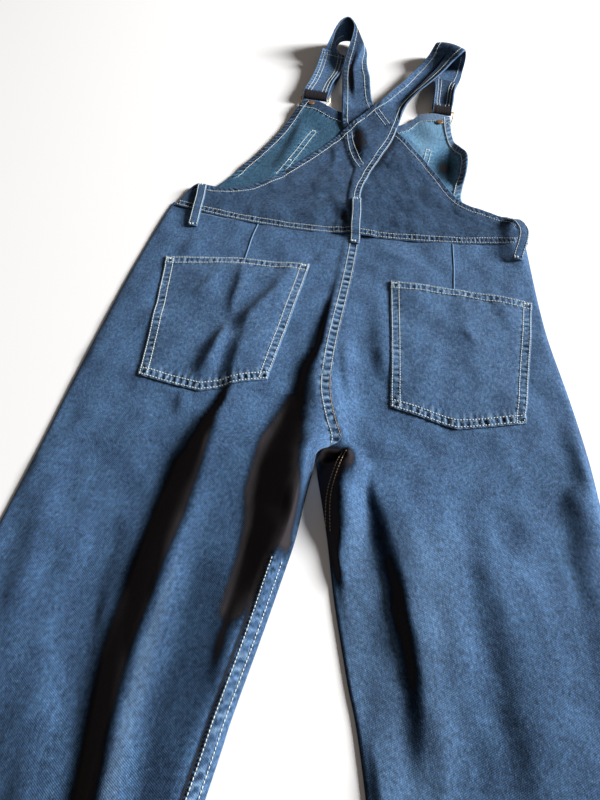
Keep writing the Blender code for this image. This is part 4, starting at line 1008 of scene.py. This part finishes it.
def bib():
    columns, row_count = 110, 110
    upper, lower = [], []
    body = curve_rows(BIB, row_count)
    for k, (shares, x, y, (lx, _, rx, _)) in enumerate(rows_across(body, columns, BIB_STEPS)):
        y = y + along(BIB_TOP, x) * smooth(0.80, 1.0, k / (row_count - 1))
        y = np.maximum(y, along(WAIST_SEAM, x) + 4.5 + 0.4 * k)
        z = WALL + GAP + bib_rise(x, y) - (WALL + GAP - 0.05) * smooth(72, 54, y)
        from_edge = np.minimum(shares, 1 - shares) * abs(rx - lx)
        hem = 0.9 * smooth(11.4, 10.4, from_edge) * smooth(104, 122, y)
        lower.append(np.stack([x, y, z], 1))
        upper.append(np.stack([x, y, z + WALL + hem], 1))
    upper, lower = np.array(upper), np.array(lower)
    depth = np.linalg.norm(upper[-1:, :, :2] - upper[..., :2], axis=2)
    grown = np.maximum(upper[..., 2] - lower[..., 2] - WALL, 0.9 * smooth(21, 20, depth))
    upper[..., 2] = lower[..., 2] + WALL + grown
    rounded_edges(upper, lower)
    x, y = upper[..., 0], upper[..., 1]
    fine = ripple(x, y, 26, 0.8, 9) + creases(BIB_CREASES, x, y) + 0.2
    fine = np.clip(fine, -0.3, 4) * smooth(90, 130, y)
    for table in (YOKE_LEFT, YOKE_RIGHT):
        covered = inside_outline(outline_of(table), x, y)
        fine = np.where(covered > -12, np.minimum(fine, -0.3 + 2.5 * smooth(-2, -12, covered)), fine)
    upper[..., 2] += fine
    lower[..., 2] += fine
    cloth = Cloth("cloth_front_bib", upper, lower)
    cloth.turned = (grown > 0.5) & (y > 100)
    # Paler to the right and darker to the left, with painted shade inside the cupped right side
    cloth.tone = 0.36 * smooth(40, 80, x) - 0.7 * smooth(20, -20, x) - 1.6 * spot(x, y, (107, 163), (17, 32))
    return cloth


def back_pocket(side, table, leg):
    lower = np.array([np.stack([x, y + row[4] * (1 - np.abs(2 * shares - 1)), 0 * x], 1)
                      for shares, x, y, row in rows_across(curve_rows(table, 92), 84, POCKET_STEPS)])
    flat = drape(lower.reshape(-1, 3)[:, :2], leg.upper).reshape(lower.shape)
    lower[..., 2] = flat[..., 2] + 0.25
    soft = lower[..., 2].copy()
    for _ in range(6):
        soft[1:-1, 1:-1] = (soft[:-2, 1:-1] + soft[2:, 1:-1] + soft[1:-1, :-2] + soft[1:-1, 2:]) / 4
    lower[..., 2] = np.maximum(lower[..., 2], soft)
    upper = lower + (0, 0, WALL)
    depth = np.linalg.norm(lower[:1, :, :2] - lower[..., :2], axis=2)
    upper[..., 2] += 1.2 * smooth(2, 30, edge_gap(lower)) + 0.7 * smooth(12.5, 11.5, depth)
    rounded_edges(upper, lower)
    cloth = Cloth(f"cloth_back_pocket_{side}", upper, lower)
    cloth.tone = ripple(lower[..., 0], lower[..., 1], 3.2, 0.24, 8)
    return cloth


def edge_gap(grid):
    """Distance of each point of a grid to the nearest of its four edges, measured along the grid."""
    across, down = lengths_along(grid, 1), lengths_along(grid, 0)
    return np.minimum(np.minimum(across, across[:, -1:] - across), np.minimum(down, down[-1:] - down))


def belt_loop(name, line, cloths):
    """A strip over the cloths under it, bowed between its ends."""
    trees = [BVHTree.FromPolygons([Vector(p) for p in cloth.upper.reshape(-1, 3)],
                                  quads_of(cloth.upper).tolist())
             for cloth in cloths]
    half = BELT_LOOP_WIDTH / 2
    shares = edge_shares(BELT_LOOP_WIDTH, 17, LOOP_STEPS) * 2 - 1
    lower = []
    for x, y, bow in curve_rows(line, 80):
        ground = max(height_at(tree, x + dx, y) or 0.0 for tree in trees for dx in (-half, 0, half))
        lower.append([(x + half * s, y, ground + 0.3 + bow) for s in shares])
    lower = np.array(lower)
    for _ in range(8):
        lower[1:-1, :, 2] = (lower[:-2, :, 2] + lower[2:, :, 2] + 2 * lower[1:-1, :, 2]) / 4
    upper = lower + (0, 0, BELT_LOOP_WALL)
    rounded_edges(upper, lower, 1.0)
    return Cloth(f"cloth_belt_loop_{name}", upper, lower)


# Stitches

def stitches(name, rows, finish):
    """All the stitches of some rows as one mesh: short arched threads with tapered ends."""
    sides = 5
    ring = np.linspace(0, 2 * math.pi, sides, endpoint=False)
    stations = [(0.0, 0.35, -0.25), (0.15, 0.9, 0.05), (0.5, 1.0, 0.18), (0.85, 0.9, 0.05),
                (1.0, 0.35, -0.25)]
    points, faces = [], []
    for row in rows:
        length = lengths_along(row)
        for k in range(int(length[-1] / STITCH)):
            base = len(points)
            places = [k * STITCH + 0.25 + (STITCH - 0.75) * share for share, _, _ in stations]
            ends = np.stack([np.interp(places, length, row[:, j]) for j in range(3)], 1)
            forward = ends[-1] - ends[0]
            forward /= max(np.linalg.norm(forward), 1e-6)
            sideways = np.cross(forward, (0, 0, 1.0))
            sideways /= max(np.linalg.norm(sideways), 1e-6)
            up = np.cross(sideways, forward)
            for centre, (_, size, lift) in zip(ends, stations):
                for angle in ring:
                    offset = sideways * math.cos(angle) + up * math.sin(angle)
                    points.append(centre + offset * THREAD * size + up * (lift + 0.12))
            for s in range(len(stations) - 1):
                for q in range(sides):
                    a, b = base + s * sides + q, base + s * sides + (q + 1) % sides
                    faces.append((a, b, b + sides, a + sides))
            faces.append(tuple(base + q for q in range(sides))[::-1])
            faces.append(tuple(base + (len(stations) - 1) * sides + q for q in range(sides)))
    mesh = bpy.data.meshes.new(name)
    mesh.from_pydata(put(points).tolist(), [], faces)
    mesh.shade_smooth()
    mesh.materials.append(finish)
    piece = link(name, mesh)
    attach(piece, "root")


# Floor, light and camera

def stage():
    bpy.ops.mesh.primitive_plane_add(size=30, location=(0, 0, 0))
    floor = bpy.context.object
    floor.name = "floor"
    made, tree, shader = new_material("pale_floor", 0.9)
    shader.inputs["Base Color"].default_value = (0.90, 0.90, 0.90, 1)
    shader.inputs["Specular IOR Level"].default_value = 0.0
    floor.data.materials.append(made)


def lamp():
    """One square lamp, low on the right and a little behind the shoulders."""
    azimuth, elevation, distance = math.radians(22), math.radians(23), 5.0
    away = Vector((math.cos(azimuth) * math.cos(elevation), math.sin(azimuth) * math.cos(elevation),
                   math.sin(elevation)))
    data = bpy.data.lights.new("key", "AREA")
    data.shape = "SQUARE"
    data.size = 1.5
    data.energy = 720.0
    light = link("key", data)
    light.location = away * distance
    light.rotation_euler = (-away).to_track_quat("-Z", "Y").to_euler()


def lights():
    lamp()
    world = bpy.data.worlds.new("studio")
    world.use_nodes = True
    world.node_tree.nodes["Background"].inputs["Color"].default_value = (1.0, 0.88, 0.78, 1)
    world.node_tree.nodes["Background"].inputs["Strength"].default_value = 0.13
    bpy.context.scene.world = world
    bpy.context.scene.view_settings.view_transform = "Standard"


CAMERA_AT = (10.0, -538.0, 500.0)
CAMERA_PITCH, CAMERA_YAW, CAMERA_ROLL = math.radians(58.2), math.radians(7.4), math.radians(1.5)


def camera():
    """The photograph's view: from the hem end, looking down and a little to the left."""
    level = math.cos(CAMERA_PITCH)
    forward = Vector((-math.sin(CAMERA_YAW) * level, math.cos(CAMERA_YAW) * level, -math.sin(CAMERA_PITCH)))
    right = Vector((math.cos(CAMERA_YAW), math.sin(CAMERA_YAW), 0))
    up = right.cross(forward)
    turned_right = math.cos(CAMERA_ROLL) * right + math.sin(CAMERA_ROLL) * up
    turned_up = -math.sin(CAMERA_ROLL) * right + math.cos(CAMERA_ROLL) * up
    data = bpy.data.cameras.new("camera")
    data.lens = 26.0
    data.sensor_width = 36.0
    data.clip_start = 0.01
    made = link("camera", data)
    rotation = Matrix((turned_right, turned_up, -forward)).transposed()
    made.matrix_world = Matrix.Translation(Vector(put(CAMERA_AT))) @ rotation.to_4x4()
    bpy.context.scene.camera = made


def tack(cloth, x, y, length):
    """A bartack: three short rows side by side, lying on the cloth."""
    ends = np.linspace(-length / 2, length / 2, 6)
    for shift in (-0.75, 0.0, 0.75):
        lying = drape(np.stack([x + ends, y + shift + 0 * ends], 1), cloth.upper)
        if len(lying) > 2:
            cloth.rows.append(resample(lying, 0.8))


def ridge(name, line, cloth, finish):
    """A dart's closed seam: a narrow rounded ridge on the cloth."""
    middle = drape(curve_rows(line, 50), cloth.upper)[:, None]
    share = np.linspace(-1, 1, 9)
    half, high = 1.1, 0.8
    upper = middle + np.stack([share * half, 0 * share, high * np.sqrt(1 - share ** 2) + 0.02], 1)
    lower = middle + np.stack([share * half, 0 * share, 0 * share - 0.5], 1)
    # The right half is rubbed pale; the left half, away from the lamp, gets painted shade
    wear_and_shade = np.repeat(np.where(share > -0.1, 0.45, -0.9)[None], len(middle), 0)
    piece = closed_mesh(name, upper, lower, wear_and_shade, 0.0, finish, finish)
    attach(piece, "root")
    return piece


def make_legs(face, reverse):
    """The legs' panels and darts; gives the back panels."""
    legs = {side: back_leg(side) for side in SIGN}
    for side, leg in legs.items():
        dart = ridge(f"dart_{side}", DARTS[side], leg, face)
        leg.finish(face, reverse, (0.33, 1.06), rests_on=[f"cloth_front_leg_{side}"], area=0.245,
                   with_pieces=[dart])
        front_leg(side).finish(face, face, (0.32, 1.06), rests_on=["floor"], area=0.235)
    return legs


def sew_yoke(cloth, share, arm_side, seam_side):
    """Two sides of a yoke half and its strap, and the waist; share is where the strap begins."""
    corner = 0.085
    neck = share * 0.9
    cloth.sew(cloth.inset_row(arm_side, 8.6, corner, neck), 0.5, 4.0)
    cloth.sew(cloth.edge_row(arm_side, 9.0, neck), 0.5, 4.0)
    cloth.ladder(cloth.inset_row(arm_side, 4.6, corner, neck), 4.0, 6.0, 0.8, 1.0, 0.8)
    cloth.ladder(cloth.edge_row(arm_side, 4.8, neck), 3.6, 6.4, 0.4, 0.45, 0.8)
    first = share * 0.62 if seam_side == "left" else 0.02
    cloth.sew(cloth.edge_row(seam_side, 8.5, first), 0.4, 4.0)
    cloth.ladder(cloth.edge_row(seam_side, 4.6, first, share), 3.8, 6.6, 0.6, 0.8, 0.7)
    cloth.ladder(cloth.edge_row(seam_side, 4.6, share), 3.6, 6.6, 0.4, 0.4, 0.7)
    for inset in (WAIST_ROW, WAIST_ROW + ROWS_APART):
        cloth.sew(cloth.cross_row(inset), 0.5, 3.4, slant=0.0)
    cloth.ladder(cloth.cross_row(WAIST_ROW + ROWS_APART / 2), 3.7, 5.6, 0.7, 1.0)


def make_yokes(face):
    under, share_right = yoke("right", YOKE_RIGHT, STRAP_OVER_LEFT, None)
    over, share_left = yoke("left", YOKE_LEFT, STRAP_OVER_RIGHT, outline_of(YOKE_RIGHT))
    sew_yoke(under, share_right, "right", "left")
    sew_yoke(over, share_left, "left", "right")
    over.sew(over.edge_row("right", 1.8, 0.02, 0.42), 0.4, 4.0)
    for line in CROSSING:
        over.sew(drape(curve_rows(line, 30), over.upper), 0.5, 4.5)
    under.finish(face, face, (0.23, 0.72), held="folded", rests_on=["cloth_front_bib"], area=0.058)
    over.finish(face, face, (0.24, 0.72), held="folded", rests_on=["cloth_back_yoke_right"], area=0.058)
    return under, over


def make_strap_returns(face):
    """The doubled-back strap ends, with painted shade for their gathers; gives their rows of stitches."""
    stitched = []
    for side, other, table, end, tone, size in (
            ("left", "right", STRAP_RETURN_LEFT, 0.18, 0.1, (0.040, 0.125)),
            ("right", "left", STRAP_RETURN_RIGHT, 0.21, 0.65, (0.036, 0.098))):
        cloth = strap_return(side, table)
        share = np.linspace(0, 1, len(cloth.upper))[:, None]
        # Painted shade at the ends, in stripes for the gathers
        gather_painted_shade = 0.3 * np.sin(np.arange(cloth.wear_and_shade.shape[1]) * 1.1)
        cloth.mark((gather_painted_shade - 1.25) * smooth(end + 0.06, end - 0.02, share))
        # Darker overall, the right one more
        cloth.tone -= tone
        for edge in ("left", "right"):
            for inset in (5.0, 10.0):
                cloth.sew(cloth.edge_row(edge, inset, end + 0.02), 0.4, 3.0)
            cloth.ladder(cloth.edge_row(edge, 2.8, 0.1), 2.8, 6.4, 0.4, 0.7, 0.8)
        if side == "left":
            cloth.sew(cloth.cross_row(7.0, "bottom"), 0.3, 4.0)
        cloth.finish(face, face, size, held="folded", rests_on=[f"cloth_back_yoke_{other}"])
        stitched += cloth.rows
    return stitched


def make_bib(face, reverse):
    """The bib with the stitching of its pocket, which shows through; gives its rows of stitches."""
    cloth = bib()
    for edge in ("left", "right"):
        cloth.sew(cloth.edge_row(edge, 10.0, 0.33), 0.5, 4.0)
        cloth.ladder(cloth.edge_row(edge, 5.4, 0.33), 4.6, 7.5, 0.7, 0.9, 0.8)
    cloth.sew(cloth.cross_row(20.0, "bottom"), 0.4, 4.0)
    for line, *tacks in zip(BIB_POCKET_SEAMS, ((-77, 215), (85, 199)), ((-100, 143), (80, 162))):
        for offset in (-3.5, 3.5):
            cloth.sew(drape(curve_rows(line, 40) + (offset, 0), cloth.upper), 0.35, 4.0)
        for x, y in tacks:
            tack(cloth, x, y, 9)
    cloth.finish(reverse, face, (0.43, 0.25), rests_on=["bib_pocket"], area=0.074, slot="denim_reverse")
    return cloth.rows


def make_pockets(legs, face, reverse):
    stitched = []
    for side, table in (("left", POCKET_LEFT), ("right", POCKET_RIGHT)):
        cloth = back_pocket(side, table, legs[side])
        for inset in (ROW_IN, ROW_IN + 8.0):
            for edge in ("left", "right"):
                cloth.sew(cloth.edge_row(edge, inset), 0.5, 3.6)
            cloth.sew(cloth.cross_row(inset), 0.6, 3.6, slant=0.0)
            cloth.sew(cloth.cross_row(inset, "bottom"), 1.1, 6.2 if inset > ROW_IN else 3.6, slant=0.0)
        for edge in ("left", "right"):
            cloth.ladder(cloth.edge_row(edge, ROW_IN + 4.0), 3.8, 7.0, 0.5, 0.6, 0.3)
        cloth.ladder(cloth.cross_row(ROW_IN + 4.0), 4.2, 6.4, 0.7, 1.0)
        cloth.ladder(cloth.cross_row(ROW_IN + 4.0, "bottom"), 4.2, 6.8, 0.9, 1.1)
        left_x, left_y, right_x, right_y, _ = table[0]
        tack(cloth, left_x + 6, left_y - 3, 8)
        tack(cloth, right_x - 6, right_y - 3, 8)
        cloth.finish(face, reverse, (0.172, 0.19), rests_on=[f"cloth_back_leg_{side}"], area=0.030)
        stitched += cloth.rows
    return stitched


def make_belt_loops(cloths, face):
    stitched = []
    for name, line in BELT_LOOPS.items():
        cloth = belt_loop(name, line, cloths)
        for edge in ("left", "right"):
            cloth.sew(cloth.edge_row(edge, 1.6), 0.1, 2.0)
        for x, y, _ in (line[0], line[-1]):
            tack(cloth, x, y + (2.5 if y < 30 else -2.5), 9)
        cloth.finish(face, face, (0.012, 0.078), rests_on=["cloth_back_yoke_left"])
        stitched += cloth.rows
    return stitched


def finish_solids(face):
    """Materials for the CAD solids that show as they are."""
    gold = metal_material("pale_gold_plate", (0.83, 0.66, 0.42), (0.62, 0.46, 0.26), 0.35)
    copper = metal_material("copper_plate", (0.66, 0.40, 0.22), (0.42, 0.24, 0.13), 0.4)
    finishes = {"buckle": gold, "button": gold, "rivet": copper, "bib_pocket": face}
    for name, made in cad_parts.items():
        for kind, finish in finishes.items():
            if name.startswith(kind):
                made.data.materials.clear()
                made.data.materials.append(finish)


def build():
    face = denim("denim_face", (0.027, 0.064, 0.140), (0.048, 0.112, 0.225), (0.25, 0.37, 0.50))
    reverse = denim("denim_wrong_side", (0.050, 0.150, 0.265), (0.085, 0.225, 0.375), (0.28, 0.46, 0.62), 0.7)
    pale = thread_material("pale_thread", (0.44, 0.51, 0.52), (0.72, 0.78, 0.76))
    orange = thread_material("orange_thread", (0.28, 0.20, 0.13), (0.52, 0.40, 0.28))

    legs = make_legs(face, reverse)
    left, right = legs["left"].rows, legs["right"].rows
    under, over = make_yokes(face)
    rows = left[:3] + left[4:] + right[2:] + under.rows + over.rows + make_strap_returns(face)
    rows += make_bib(face, reverse)
    rows += make_pockets(legs, face, reverse)
    rows += make_belt_loops((over, under, legs["left"], legs["right"]), face)
    half = len(rows) // 2
    stitches("thread_upper", rows[:half], pale)
    stitches("thread_lower", rows[half:], pale)
    stitches("thread_crotch", left[3:4] + right[:2], orange)
    finish_solids(face)


build()
stage()
lights()
camera()
